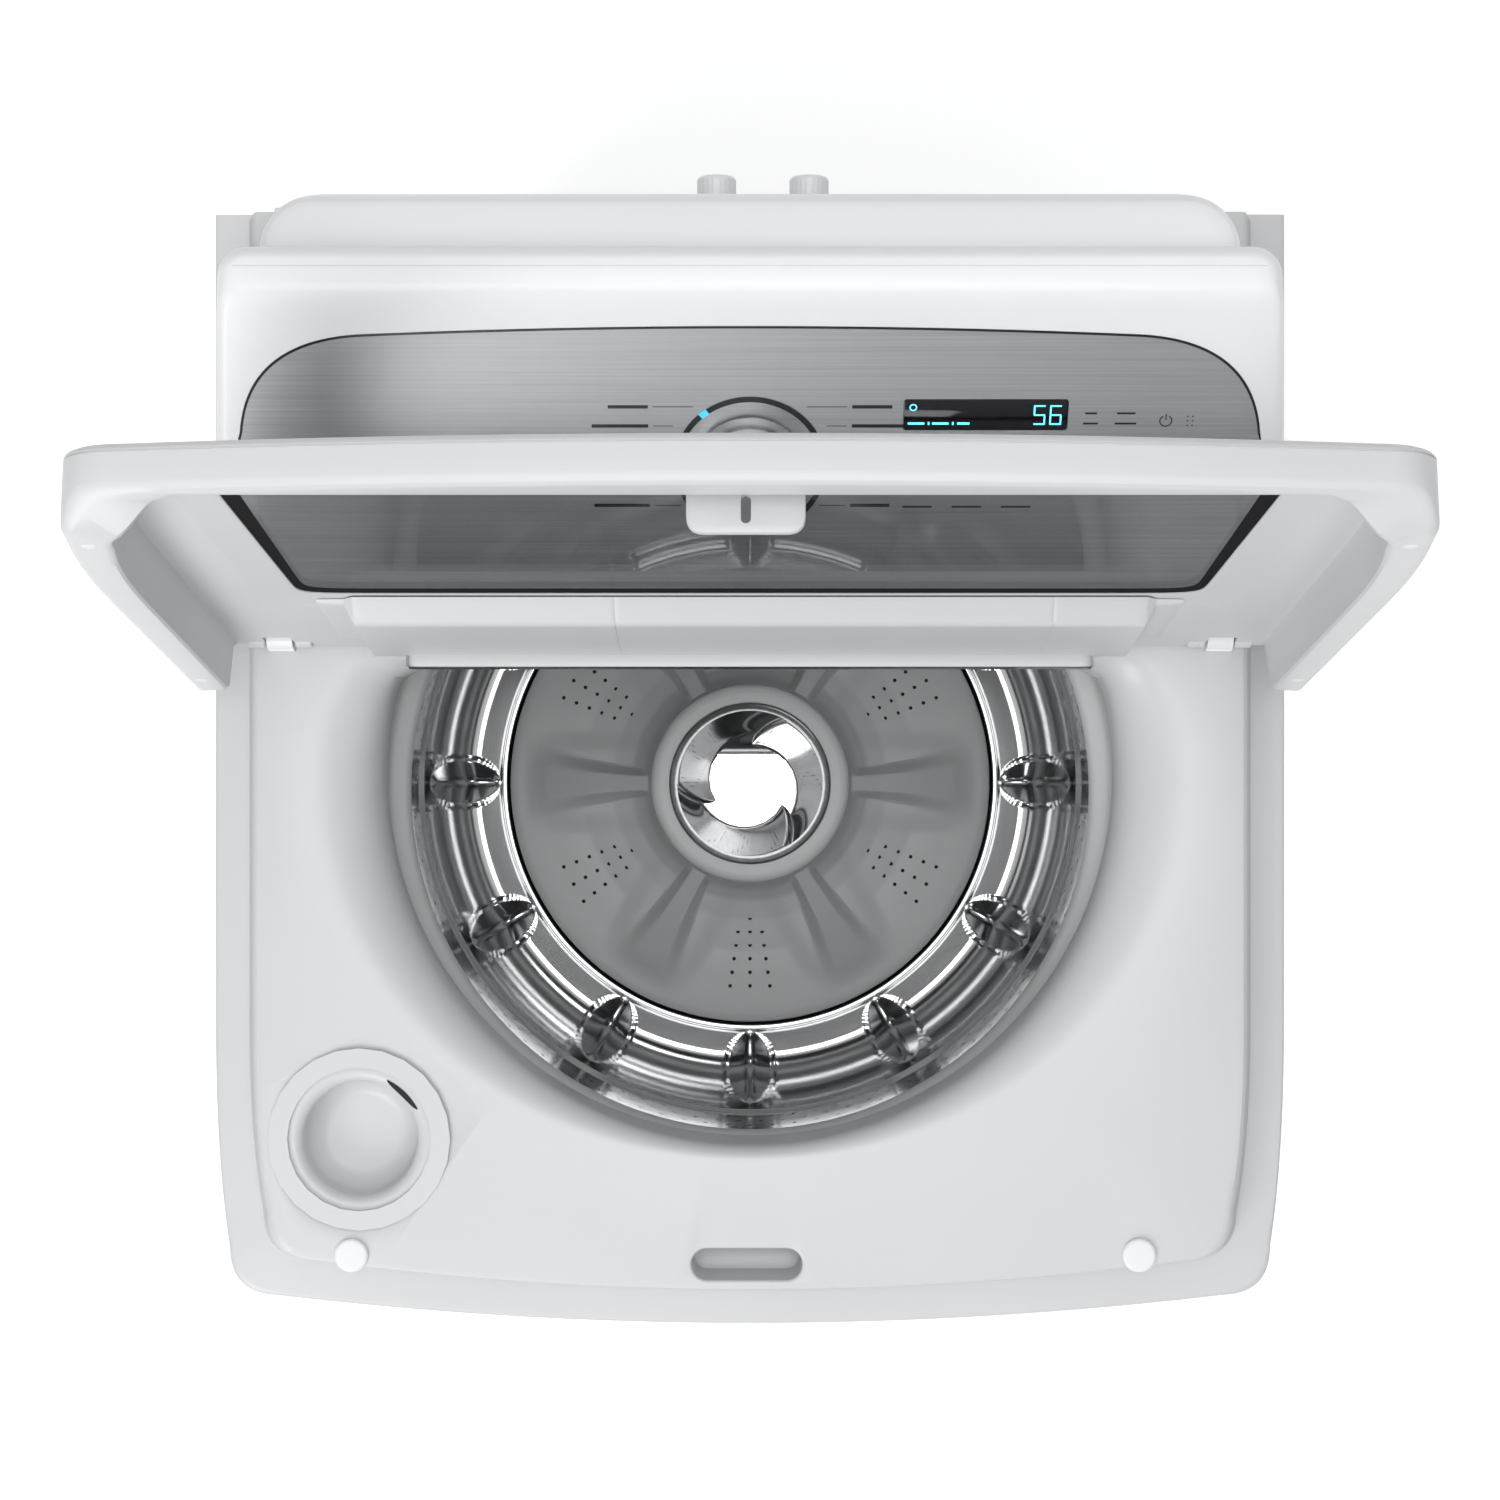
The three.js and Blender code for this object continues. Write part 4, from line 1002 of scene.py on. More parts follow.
def makeLidShell():
    top, skinZ, liner = lid["top"], lid["skin"], lid["liner"]
    pane = {"x": lid["paneX"], "front": lid["paneFront"], "rear": lid["paneRear"]}
    rings = [windowRing(top - 1.2, 0, **pane), windowRing(top - 0.3, 0.2, **pane),
             windowRing(top, 0.9, **pane)]
    for side, z in ((9, top), (5.5, top - 0.2), (3, top - 0.9), (1.2, top - 2.1), (0.3, top - 3.4),
                    (0, top - 4.4), (0.7, top - 4.8), (0.7, top - 5.3), (0, top - 5.7)):
        rings.append(lidRing(side, side, z))
    rings.append(lidRing(0, 0, lambda low: max(1000, low + 1)))
    for side, front, up in ((0, 0, 6), (0.3, 0.3, 3.6), (1.3, 1.3, 1.4), (3.2, 3.2, 0.2), (5, 5, 0),
                            (16, 19, 0), (18.6, 21.8, 0.4), (19.9, 23.3, 1.6), (20.4, 24, 3.6)):
        rings.append(lidRing(side, front, lambda low, up=up: min(low + up, max(low, 1000.5))))
    for side, front, z in ((22.2, 25.4, liner - 2.4), (23.4, 26.2, liner - 0.7), (25.6, 28, liner - 0.1),
                           (30, 33, liner)):
        rings.append(lidRing(side, front, lambda low, z=z: max(z, min(low, liner))))
    sill = lid["sill"]
    for grow, z in ((sill, liner), (sill - 1.5, liner + 0.15), (2.4, liner + 2.6), (0.8, liner + 2.6),
                    (0, liner + 3.0), (0, skinZ + 0.2)):
        rings.append(windowRing(z, min(grow, sill), taper=2.8))
    rings.append(windowRing(skinZ + 0.2, 0, **pane))
    shell = finishPiece("lidShell", skin("lidShell", rings, loop=True), "lidWhite", "lid",
                        ["lid_shell", "lid_inner_frame"], 28)
    notches = []
    for x in (-lid["hingeX"], lid["hingeX"]):
        notches.append(closedMesh(blockMesh("notch", x - 9, x + 9, 48, 82, 960, 1020, 1)))
    cutWith(shell, notches)
    openLid(shell)
    # knuckles that hold the pins, either side of each bracket
    number = 0
    for x in (-lid["hingeX"], lid["hingeX"]):
        for side in (-1, 1):
            number += 1
            knuckle = [(0, -5.4), (6.2, -5.4, 0.6), (7, -4.6), (7, 4.6), (6.2, 5.4, 0.6), (0, 5.4)]
            place = (x + side * 14.6, hinge.y / mm, hinge.z / mm)
            mesh = turnedAlong(f"knuckle{number}", knuckle, place, "X", 40)
            openLid(finishPiece(f"lidKnuckle{number}", mesh, "lidWhite", "lid"))


# an outline turned about a level axis: (radius, distance along) round X or Y through a point in millimetres
def turnedAlong(name, outline, through, axis, steps=48, radius=0.4):
    mesh = turnedMesh(name, outline, (0, 0), steps, radius, False, 3)
    turn = Matrix.Rotation(math.pi / 2, 4, "Y") if axis == "X" else Matrix.Rotation(-math.pi / 2, 4, "X")
    mesh.transform(Matrix.Translation(Vector(through) * mm) @ turn)
    return mesh


def makeLidBar():
    hingeY, hingeZ = hinge.y / mm, hinge.z / mm
    bar = barShape

    def profile(x, share, inset):
        low = hingeZ - bar["depth"] + bar["endRise"] * (1 - share) + inset
        top = lid["liner"] + 1.5
        reach = bar["sillTop"] - (1 - share) * 6
        foot = bar["sillFoot"] + (1 - share) * 6
        outline = [(hingeY - reach, top), (hingeY - foot, low, 3.5), (hingeY - bar["end"], low, 2.5),
                   (hingeY - bar["end"] + 2, top)]
        return [Vector((x, y, z)) * mm for y, z in filleted(outline, 1, 5)]

    half, full = bar["half"], bar["fullHalf"]
    stations = [(-half, 0), (-half + 4, 0.08), (-full - 6, 0.12), (-full - 1, 0.9), (-full, 1),
                (-full + 5, 1), (full - 5, 1), (full, 1), (full + 1, 0.9), (full + 6, 0.12),
                (half - 4, 0.08), (half, 0)]
    rings = [profile(x, share, 0) for x, share in stations]
    for seam in bar["seams"]:  # where the moulding's parts meet
        for off, inset in ((-3, 0), (-0.4, 0), (-0.2, 0.3), (0.2, 0.3), (0.4, 0), (3, 0)):
            rings.append(profile(seam + off, 1, inset))
    rings.sort(key=lambda ring: ring[0].x)
    mesh = skin("lidBar", rings, capStart=True, capEnd=True)
    openLid(finishPiece("lidBar", mesh, "lidWhite", "lid"))
    lip = blockMesh("lidLip", -bar["lipHalf"], bar["lipHalf"], hingeY - bar["lipFront"],
                    hingeY - bar["lipBack"], hingeZ - bar["lipDepth"], hingeZ - bar["depth"] + 1.5, 1.6, 8)
    openLid(finishPiece("lidLip", lip, "lidWhite", "lid"))


def makeLidWindow():
    skinZ = lid["skin"]
    pane = {"x": lid["paneX"] - 0.6, "front": lid["paneFront"] + 0.6, "rear": lid["paneRear"] - 0.6}
    levels = ((skinZ + 0.4, 0.4), (skinZ + 0.8, 0), (lid["top"] - 1.4, 0), (lid["top"] - 1, 0.4))
    rings = [windowRing(z, -drawn, **pane) for z, drawn in levels]
    glass = skin("lidGlass", rings, capStart=True, capEnd=True)
    openLid(finishPiece("lidGlass", glass, "lidGlass", "lid", ["lid_glass"], 20))
    # the black border printed on the glass is wider towards the front
    low, high = skinZ + 0.22, skinZ + 0.34

    def inner(z):
        middle = (lid["windowFront"] + lid["windowRear"]) / 2
        half = (lid["windowRear"] - lid["windowFront"]) / 2
        points = windowRing(z, -lid["borderRear"], rear=lid["windowRear"] - lid["borderFoot"], taper=2.8)
        for p in points:
            toFront = (middle - p.y / mm) / half * 0.5 + 0.5
            p.x *= 1 - (lid["borderFront"] - lid["borderRear"]) * toFront / lid["windowX"]
        return points

    rings = [windowRing(low, 1.5, taper=2.8), windowRing(high, 1.5, taper=2.8), inner(high), inner(low)]
    border = skin("lidBorder", rings, loop=True)
    openLid(finishPiece("lidBorder", border, "borderBlack", "lid"))


latch = {"left": -31, "right": 27, "front": -332, "back": -326, "low": 972.5, "high": 1003.2, "corner": 9,
         "slotX": -2, "slotWidth": 5, "slotLow": 977, "slotHigh": 992}


def makeLatchTab():
    outline = [(latch["left"] - 2, latch["high"]), (latch["left"], latch["high"] - 8, 4),
               (latch["left"], latch["low"], latch["corner"]),
               (latch["right"], latch["low"], latch["corner"]), (latch["right"], latch["high"] - 8, 4),
               (latch["right"] + 2, latch["high"])]
    shape = filleted(outline, 4, 8)
    centreX = (latch["left"] + latch["right"]) / 2
    centreZ = (latch["low"] + latch["high"]) / 2
    rings = []
    for y, drawn in ((latch["front"], 1.2), (latch["front"] + 0.35, 0.35), (latch["front"] + 1.2, 0),
                     (latch["back"] - 1.2, 0), (latch["back"] - 0.35, 0.35), (latch["back"], 1.2)):
        rings.append([Vector((x - math.copysign(drawn, x - centreX), y,
                              z - math.copysign(drawn, z - centreZ))) * mm for x, z in shape])
    tab = finishPiece("latchTab", skin("latchTab", rings, capStart=True, capEnd=True), "lidWhite", "lid",
                      ["lid_latch_tab"])
    half = latch["slotWidth"] / 2
    tool = blockMesh("slotTool", latch["slotX"] - half, latch["slotX"] + half, latch["slotLow"],
                     latch["slotHigh"], -9, 9, 0.2, half - 0.01)
    tool.transform(Matrix.Translation((0, latch["front"] * mm, 0)) @ Matrix.Rotation(math.pi / 2, 4, "X"))
    cutWith(tab, [closedMesh(tool)])
    openLid(tab)


rimPads = {"places": ((-324, -312), (-333, 18), (324, -312), (333, 18)), "radius": 4.2, "depth": 0.4}


def makeRimPads():
    radius, depth = rimPads["radius"], rimPads["depth"]
    for number, (x, y) in enumerate(rimPads["places"]):
        pad = [(0, -depth), (radius - 1, -depth, 0.4), (radius, 0.1, 0.2), (radius, 0.6), (0, 0.6)]
        mesh = turnedMesh("rimPad", pad, (x, y), 32, 0.4, False, 3)
        mesh.transform(Matrix.Translation((0, 0, rimHeight(x, y) * mm)))
        openLid(finishPiece(f"rimPad{number + 1}", mesh, "rubberPad", "lid"))


def dress(node, look):
    piece = bpy.data.objects[node]
    for place in piece.material_slots:
        place.material = looks[look]


makeLidShell()
makeLidBar()
makeLidWindow()
makeLatchTab()
makeRimPads()
for sideName in ("left", "right"):
    dress(f"hinge_pin_{sideName}", "rodSteel")
    dress(f"hinge_bracket_{sideName}", "consoleWhite")
print("lid made")


# console
slope = {"footY": 79, "footZ": 1010, "topY": 247, "topZ": 1122, "panel": 3}
slope["angle"] = math.atan2(slope["topZ"] - slope["footZ"], slope["topY"] - slope["footY"])
slopeFoot = Matrix.Translation((0, slope["footY"] * mm, slope["footZ"] * mm))
onSlope = slopeFoot @ Matrix.Rotation(slope["angle"], 4, "X")


panelShape = {"rightSide": ((-325, 8), (325, 8), (321, 83), (306, 128))}  # foot, then up the right side


# across and up the slope, drawn in by an inset; the top edge is gently bowed
def panelRing(z, inset, steps=24):
    x, v = Vector((1, 0)), Vector((0, 1))
    low = [Vector(p) for p in panelShape["rightSide"]]
    points = []
    low = [p + x * (-math.copysign(inset, p.x)) + v * (inset if p.y < 9 else 0) for p in low]
    points += [low[0].lerp(low[1], k / steps) for k in range(steps)]
    points += [low[1].lerp(low[2], k / 6) for k in range(6)]
    points += [low[2].lerp(low[3], k / 6) for k in range(6)]
    curves = (((306 - inset, 128), (297 - inset, 187 - inset), (232, 192 - inset)),
              ((232, 192 - inset), (0, 203 - inset), (-232, 192 - inset)),
              ((-232, 192 - inset), (-297 + inset, 187 - inset), (-306 + inset, 128)))
    for a, b, c in curves:
        a, b, c = Vector(a), Vector(b), Vector(c)
        points += [a.lerp(b, k / steps).lerp(b.lerp(c, k / steps), k / steps) for k in range(steps)]
    left = [Vector((-306 + inset, 128)), Vector((-321 + inset, 83)), low[0]]
    points += [left[0].lerp(left[1], k / 6) for k in range(6)]
    points += [left[1].lerp(left[2], k / 6) for k in range(6)]
    return [Vector((p.x, p.y, z)) * mm for p in points]


console = {"levels": ((1000.3, 335, 77, 292, 24), (1009, 334.2, 78.6, 292, 24),
                      (1010.4, 334, 79.6, 292, 24), (1119, 312.6, 242.5, 290.2, 18),
                      (1124.5, 311.4, 250, 289.4, 17), (1129, 309.2, 256, 287.4, 15),
                      (1131.8, 305.6, 261, 284, 12), (1133, 301, 265, 281, 8)),
           "frontBend": 6, "seamY": 276.5, "seamWidth": 0.6}
rearCover = {"front": 292.3, "levels": ((1000.3, 308, 344, 45), (1036, 303, 338, 40), (1068, 297, 331, 34),
                                         (1078, 294, 327.5, 30), (1083, 291, 324, 27),
                                        (1085, 287, 319.5, 23))}
dial = {"v": 106, "ringInner": 42.6, "ringOuter": 46, "markerFrom": 125, "markerTo": 132,
        "spindleHole": 12}
displayPlace = {"x": 141, "v": 140, "width": 98, "height": 20}
startKey = {"x": 228, "v": 106, "radius": 17}
optionKeys = {"x": (100, 138, 176), "v": 106, "width": 24, "height": 9}


def makeConsoleHousing():
    rings = []
    for z, half, front, back, bend in console["levels"]:
        rings.append(boxRing(z, -half, half, front, back, console["frontBend"], bend, 8, 10))
    mesh = skin("consoleHousing", rings, capStart=True, capEnd=True)
    housing = finishPiece("consoleHousing", mesh, "consoleWhite", "cabinet",
                          ["console_housing"], 28)
    recess = skin("panelRecess", [panelRing(-slope["panel"] - 0.4, -0.5), panelRing(5, -0.5)],
                  capStart=True, capEnd=True)
    recess.transform(onSlope)
    cutWith(housing, [closedMesh(recess)])
    # a thin seam runs along the top, where front and back halves meet; it is drawn as a grey strip, painted
    # shade of the gap between the halves
    y0, y1 = console["seamY"], console["seamY"] + console["seamWidth"]
    seamHalf, topZ = console["levels"][-1][1], console["levels"][-1][0]
    seam = blockMesh("consoleSeam", -seamHalf, seamHalf, y0, y1, topZ - 0.5, topZ + 0.1, 0.05, 0.2)
    finishPiece("consoleSeam", seam, "seamShadeGrey", "cabinet")
    rings = [boxRing(z, -half, half, rearCover["front"], back, 3, bend, 10, 10)
             for z, half, back, bend in rearCover["levels"]]
    mesh = skin("consoleRear", rings, capStart=True, capEnd=True)
    finishPiece("consoleRear", mesh, "consoleWhite", "cabinet", ["console_rear_cover"], 28)


def makePanel():
    rings = [panelRing(-slope["panel"], 0), panelRing(-0.3, 0), panelRing(0, 0.3)]
    mesh = skin("controlPanel", rings, capStart=True, capEnd=True)
    panel = finishPiece("controlPanel", mesh, "panelSteel", "cabinet", ["control_panel"],
                        28)
    clear = 0.35
    halfWide, halfHigh = displayPlace["width"] / 2 + clear, displayPlace["height"] / 2 + clear
    spindleWay, startWay = dial["spindleHole"], startKey["radius"] + clear
    tools = [turnedMesh("spindleHole", [(0, -9), (spindleWay, -9), (spindleWay, 9), (0, 9)],
                        (0, dial["v"]), 64, 0),
             turnedMesh("startHole", [(0, -9), (startWay, -9), (startWay, 9), (0, 9)],
                        (startKey["x"], startKey["v"]), 64, 0),
             blockMesh("displayHole", displayPlace["x"] - halfWide, displayPlace["x"] + halfWide,
                       displayPlace["v"] - halfHigh, displayPlace["v"] + halfHigh, -9, 9, 0.1, 2)]
    for x in optionKeys["x"]:
        halfKey, halfTall = optionKeys["width"] / 2 + clear, optionKeys["height"] / 2 + clear
        tools.append(blockMesh("keyHole", x - halfKey, x + halfKey, optionKeys["v"] - halfTall,
                               optionKeys["v"] + halfTall, -9, 9, 0.1, 1.6))
    cutWith(panel, [closedMesh(tool) for tool in tools])
    panel.data.transform(onSlope)
    rings = [panelRing(z, inset) for z, inset in ((-1, -0.4), (0.12, -0.4), (0.12, 1.1), (-0.1, 1.1))]
    edge = skin("panelEdge", rings, loop=True)
    edge.transform(onSlope)
    finishPiece("panelEdge", edge, "printBlack", "cabinet")


# a flat printed mark on the panel, a little proud of it
def markMesh(name, x0, x1, v0, v1, lift=0.0, high=0.12):
    edge = min(0.3, (x1 - x0) * 0.2, (v1 - v0) * 0.2)
    rings = [boxRing(z, x0, x1, v0, v1, edge, edge, 2, 1) for z in (lift, lift + high)]
    return skin(name, rings, capStart=True, capEnd=True)


def joinMeshes(name, meshes):
    bm = bmesh.new()
    for mesh in meshes:
        bm.from_mesh(closedMesh(mesh))
    joined = bpy.data.meshes.new(name)
    bm.to_mesh(joined)
    bm.free()
    return joined


def fillEnds(mesh):
    bm = bmesh.new()
    bm.from_mesh(mesh)
    bmesh.ops.holes_fill(bm, edges=bm.edges)
    bm.to_mesh(mesh)
    bm.free()
    return mesh


def arcMesh(name, x, v, inner, outer, start, end, lift=0.0, high=0.12, steps=48):
    rings = []
    for radius, z in ((outer, lift), (outer, lift + high), (inner, lift + high), (inner, lift)):
        ring = []
        for k in range(steps + 1):
            angle = start + (end - start) * k / steps
            ring.append(Vector((x + radius * math.cos(angle), v + radius * math.sin(angle), z)) * mm)
        rings.append(ring)
    return fillEnds(skin(name, rings, loop=True, closed=False))


# plain dashes stand for the programme names: height, start of the thin line and length of the dash
marks = {"rows": ((145.3, 34, 24), (132.6, 46, 34), (119, 50, 30), (106, 52, 40), (93, 50, 26),
                  (80.2, 42, 34)),
         "leaderEnd": 58, "leaderHalf": 0.22, "wordStart": 61, "wordHalf": 1.1, "besideKeys": 24,
         "keysTop": 112}


def makeMarks():
    thin, thick, start = marks["leaderHalf"], marks["wordHalf"], marks["wordStart"]
    bars = []
    for rowV, leaderStart, length in marks["rows"]:
        for side in (-1, 1):
            line = sorted((side * leaderStart, side * marks["leaderEnd"]))
            room = marks["besideKeys"] if side > 0 and rowV < marks["keysTop"] else length
            word = sorted((side * start, side * (start + min(length, room))))
            bars.append(markMesh("leader", *line, rowV - thin, rowV + thin))
            bars.append(markMesh("word", *word, rowV - thick, rowV + thick))
    printed = joinMeshes("panelMarks", bars)
    printed.transform(onSlope)
    finishPiece("panelMarks", printed, "printBlack", "cabinet")
    touch = [arcMesh("power", 249, 136, 3.2, 3.9, math.radians(120), math.radians(420)),
             markMesh("powerBar", 248.65, 249.35, 136.5, 140.6)]
    for x, width in ((204, 7), (225, 11)):
        touch.append(markMesh("caption", x - width / 2, x + width / 2, 140.4, 141.6))
        touch.append(markMesh("caption", x - width / 2 - 1, x + width / 2 + 1, 133.6, 134.8))
    for x in (102, 132, 162):
        touch.append(markMesh("caption", x - 9, x + 9, 78.6, 79.8))
    for column in range(2):
        for row in range(3):
            touch.append(turnedMesh("dot", [(0, 0), (0.5, 0), (0.5, 0.12), (0, 0.12)],
                                    (262 + column * 3, 133 + row * 3), 12, 0))
    touched = joinMeshes("touchMarks", touch)
    touched.transform(onSlope)
    finishPiece("touchMarks", touched, "printBlack", "cabinet")


segmentShapes = {"5": "afgcd", "6": "afgedc"}


def sevenSegment(x, v, wide, tall, digit):
    thick = 1.0
    gap = 0.25
    half, full = tall / 2, tall
    places = {"a": (x + gap, x + wide - gap, v + full - thick, v + full),
              "d": (x + gap, x + wide - gap, v, v + thick),
              "g": (x + gap, x + wide - gap, v + half - thick / 2, v + half + thick / 2),
              "f": (x, x + thick, v + half + gap, v + full - gap),
              "e": (x, x + thick, v + gap, v + half - gap),
              "b": (x + wide - thick, x + wide, v + half + gap, v + full - gap),
              "c": (x + wide - thick, x + wide, v + gap, v + half - gap)}
    return [markMesh("segment", *places[letter], 0.36, 0.06) for letter in segmentShapes[digit]]


def makeDisplay():
    x, v = displayPlace["x"], displayPlace["v"]
    halfWide, halfHigh = displayPlace["width"] / 2, displayPlace["height"] / 2
    glass = blockMesh("displayGlass", x - halfWide, x + halfWide, v - halfHigh, v + halfHigh, -2.8, 0.3,
                      0.25, 2)
    glass.transform(onSlope)
    finishPiece("displayGlass", glass, "displayBlack", "cabinet", ["display_window"], 40)
    lit = sevenSegment(x + 28.5, v - 6.5, 7.2, 13, "5") + sevenSegment(x + 38.2, v - 6.5, 7.2, 13, "6")
    for start, length in ((-46.5, 10), (-32, 10), (-17, 7.5)):
        lit.append(markMesh("bar", x + start, x + start + length, v - 6.3, v - 4.9, 0.36, 0.06))
    for start in (-34.5, -20):
        lit.append(markMesh("arrow", x + start, x + start + 1, v - 6.6, v - 4.6, 0.36, 0.06))
    lit.append(arcMesh("icon", x - 43.5, v + 5, 1.6, 2.3, 0, tau * 0.999, 0.36, 0.06, 24))
    mesh = joinMeshes("displayFigures", lit)
    mesh.transform(onSlope)
    finishPiece("displayFigures", mesh, "displayBlue", "cabinet")


def makeDial():
    v = dial["v"]
    ring = arcMesh("dialRing", 0, v, dial["ringInner"], dial["ringOuter"], 0, tau * 0.9999, 0.0, 0.5, 160)
    ring.transform(onSlope)
    finishPiece("dialRing", ring, "printBlack", "cabinet")
    start, end = math.radians(dial["markerFrom"]), math.radians(dial["markerTo"])
    marker = arcMesh("dialMarker", 0, v, dial["ringInner"] - 0.3, dial["ringOuter"] + 0.3, start, end,
                     0.4, 0.3, 12)
    marker.transform(onSlope)
    finishPiece("dialMarker", marker, "markerBlue", "cabinet")
    outline = [(0, -20), (5, -20), (5, 1.7), (31, 1.7), (33.4, 1.9, 0.5), (34, 4, 0.8), (33, 19, 2.5),
               (31.2, 23, 1.6), (29.6, 23.9, 0.8), (27.5, 23.2, 1), (0, 22.7)]
    knob = turnedMesh("knob", outline, (0, v), 160, 0.5, False, 6)
    knob.transform(onSlope)
    finishPiece("knob", knob, "knobSilver", "knob", ["cycle_knob"], 30)


def makeKeys():
    radius = startKey["radius"]
    outline = [(0, -5), (radius - 0.1, -5), (radius - 0.1, 1.4), (radius - 1.4, 2.3, 1), (0, 1.7)]
    key = turnedMesh("startKey", outline, (startKey["x"], startKey["v"]), 96, 0.5, False, 5)
    key.transform(onSlope)
    finishPiece("startKey", key, "keyGrey", "start", ["start_button"])
    for number, x in enumerate(optionKeys["x"]):
        half, tall = optionKeys["width"] / 2, optionKeys["height"] / 2
        key = blockMesh("optionKey", x - half, x + half, optionKeys["v"] - tall, optionKeys["v"] + tall,
                        -5, 1.5, 0.5, 1.5)
        key.transform(onSlope)
        finishPiece(f"optionKey{number + 1}", key, "keyGrey", f"option_{number + 1}",
                    [f"option_key_{number + 1}"])


makeConsoleHousing()
makePanel()
makeMarks()
makeDisplay()
makeDial()
makeKeys()
dress("control_board", "boardGreen")
print("console made")


# cabinet, feet and what hangs inside
cabinet = {"low": 25, "high": 934.7, "inset": 3, "frontInset": 6, "wall": 2, "back": 335.2}
sheet = {"columns": 120, "rows": 160, "thick": 0.8, "pressed": 0.7, "ribs": 7, "ribDepth": 0.9,
         "marginX": 0.08, "marginZ": 0.07, "screwX": (-310, -105, 105, 310), "screwIn": 14}


def makeCabinet():
    side, front, wall = cabinet["inset"], cabinet["frontInset"], cabinet["wall"]
    low, high, back = cabinet["low"], cabinet["high"], cabinet["back"]
    levels = [(low, side + 2.4, front + 2.4, 0), (low, side + 0.8, front + 0.8, 0),
              (low + 0.8, side, front, 0)]
    for z, dip in ((62, 0), (64, 0.3), (66, 0.9), (69, 1.2), (880, 1.2), (883, 0.9), (885, 0.3), (887, 0),
                   (high - 0.6, 0)):
        levels.append((z, side, front, dip))
    levels += [(high, side + 0.6, front + 0.6, 0), (high, side + wall, front + wall, 0)]
    levels += [(low + 14, side + wall, front + wall, 0), (low + 14, side + 12, front + 12, 0),
               (low + 12.6, side + 12, front + 12, 0), (low + 12.6, side + 3.4, front + 3.4, 0)]
    rings = []
    for z, sideInset, frontInset, dip in levels:
        ring = planRing(z, sideInset, frontInset, back)
        if dip:  # the flat of each side and of the front is pressed in a little
            for p in ring:
                y = p.y / mm
                edge = min(smoothStep((y + 150) / 20), smoothStep((back - 24 - y) / 20))
                p.x -= math.copysign(dip * edge * mm, p.x) if abs(p.x) > (halfWidth - 0.02) else 0
        rings.append(ring)
    mesh = skin("cabinetSkin", rings, loop=True)
    finishPiece("cabinetSkin", mesh, "cabinetEnamel", "cabinet", ["cabinet_shell"], 28)
    # the rear panel is a pressed sheet with ribs, held by screws
    low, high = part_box("rear_panel")
    columns, rows = sheet["columns"], sheet["rows"]
    points, faces = [], []
    for depth in (0, 1):
        for j in range(rows + 1):
            for i in range(columns + 1):
                u, v = i / columns, j / rows
                x = low.x + (high.x - low.x) * u
                z = low.z + (high.z - low.z) * v
                inner = smoothStep((min(u, 1 - u) - sheet["marginX"]) / 0.03)
                inner = min(inner, smoothStep((min(v, 1 - v) - sheet["marginZ"]) / 0.02))
                rib = 0.5 + 0.5 * math.cos(tau * v * sheet["ribs"])
                press = inner * (sheet["pressed"] + sheet["ribDepth"] * smoothStep((rib - 0.55) / 0.3))
                points.append((x, high.y - (0.3 + press) * mm - depth * sheet["thick"] * mm, z))
    size = (columns + 1) * (rows + 1)
    for j in range(rows):
        for i in range(columns):
            a = j * (columns + 1) + i
            quad = (a, a + 1, a + columns + 2, a + columns + 1)
            faces.append(quad)
            faces.append(tuple(size + k for k in reversed(quad)))
    rim = [i for i in range(columns + 1)]
    rim += [j * (columns + 1) + columns for j in range(1, rows + 1)]
    rim += [rows * (columns + 1) + i for i in range(columns - 1, -1, -1)]
    rim += [j * (columns + 1) for j in range(rows - 1, 0, -1)]
    for k, a in enumerate(rim):
        b = rim[(k + 1) % len(rim)]
        faces.append((a, size + a, size + b, b))
    mesh = bpy.data.meshes.new("rearSheet")
    mesh.from_pydata(points, [], faces)
    finishPiece("rearSheet", mesh, "frameZinc", "cabinet", ["rear_panel"], 40)
    screws = []
    for x in sheet["screwX"]:
        for z in (low.z / mm + sheet["screwIn"], high.z / mm - sheet["screwIn"]):
            head = [(0, -2), (4, -2), (4, 0), (3, 1.2, 1), (0.9, 1.4), (0.8, 0.7), (0, 0.7)]
            screws.append(turnedAlong("screw", head, (x, high.y / mm - 0.2, z), "Y", 24))
    finishPiece("rearScrews", joinMeshes("rearScrews", screws), "rodSteel", "cabinet")


def makeFeet():
    for place in ("front_left", "front_right", "rear_left", "rear_right"):
        low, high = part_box(f"foot_{place}")
        x, y = (low.x + high.x) / 2 / mm, (low.y + high.y) / 2 / mm
        pad = [(0, 0), (21, 0), (23, 2.5, 1.5), (23, 6, 1.5), (19.5, 12, 3), (12, 15, 3), (11, 15.5),
               (0, 15.5)]
        finishPiece(f"footPad_{place}", turnedMesh("footPad", pad, (x, y), 64, 0.5), "rubberBlack",
                    f"foot_{place}", [f"foot_{place}"])
        top = high.z / mm
        stud = [(0, 15.6), (10, 15.6), (10.4, 17), (10.4, 21), (10, 22.2), (6, 22.2)]
        threads = int((top - 24) / 1.5)
        for k in range(threads):
            z = 22.6 + k * 1.5
            stud += [(5.3, z, 0), (6, z + 0.75, 0)]
        stud += [(5.3, top - 0.6, 0), (4.6, top, 0), (0, top, 0)]
        finishPiece(f"footStud_{place}", turnedMesh("footStud", stud, (x, y), 32, 0.2, False, 2),
                    "rodSteel", f"foot_{place}")


spring = {"radius": 13.2, "wire": 2.4, "turns": 5.5, "steps": 26, "sides": 10}


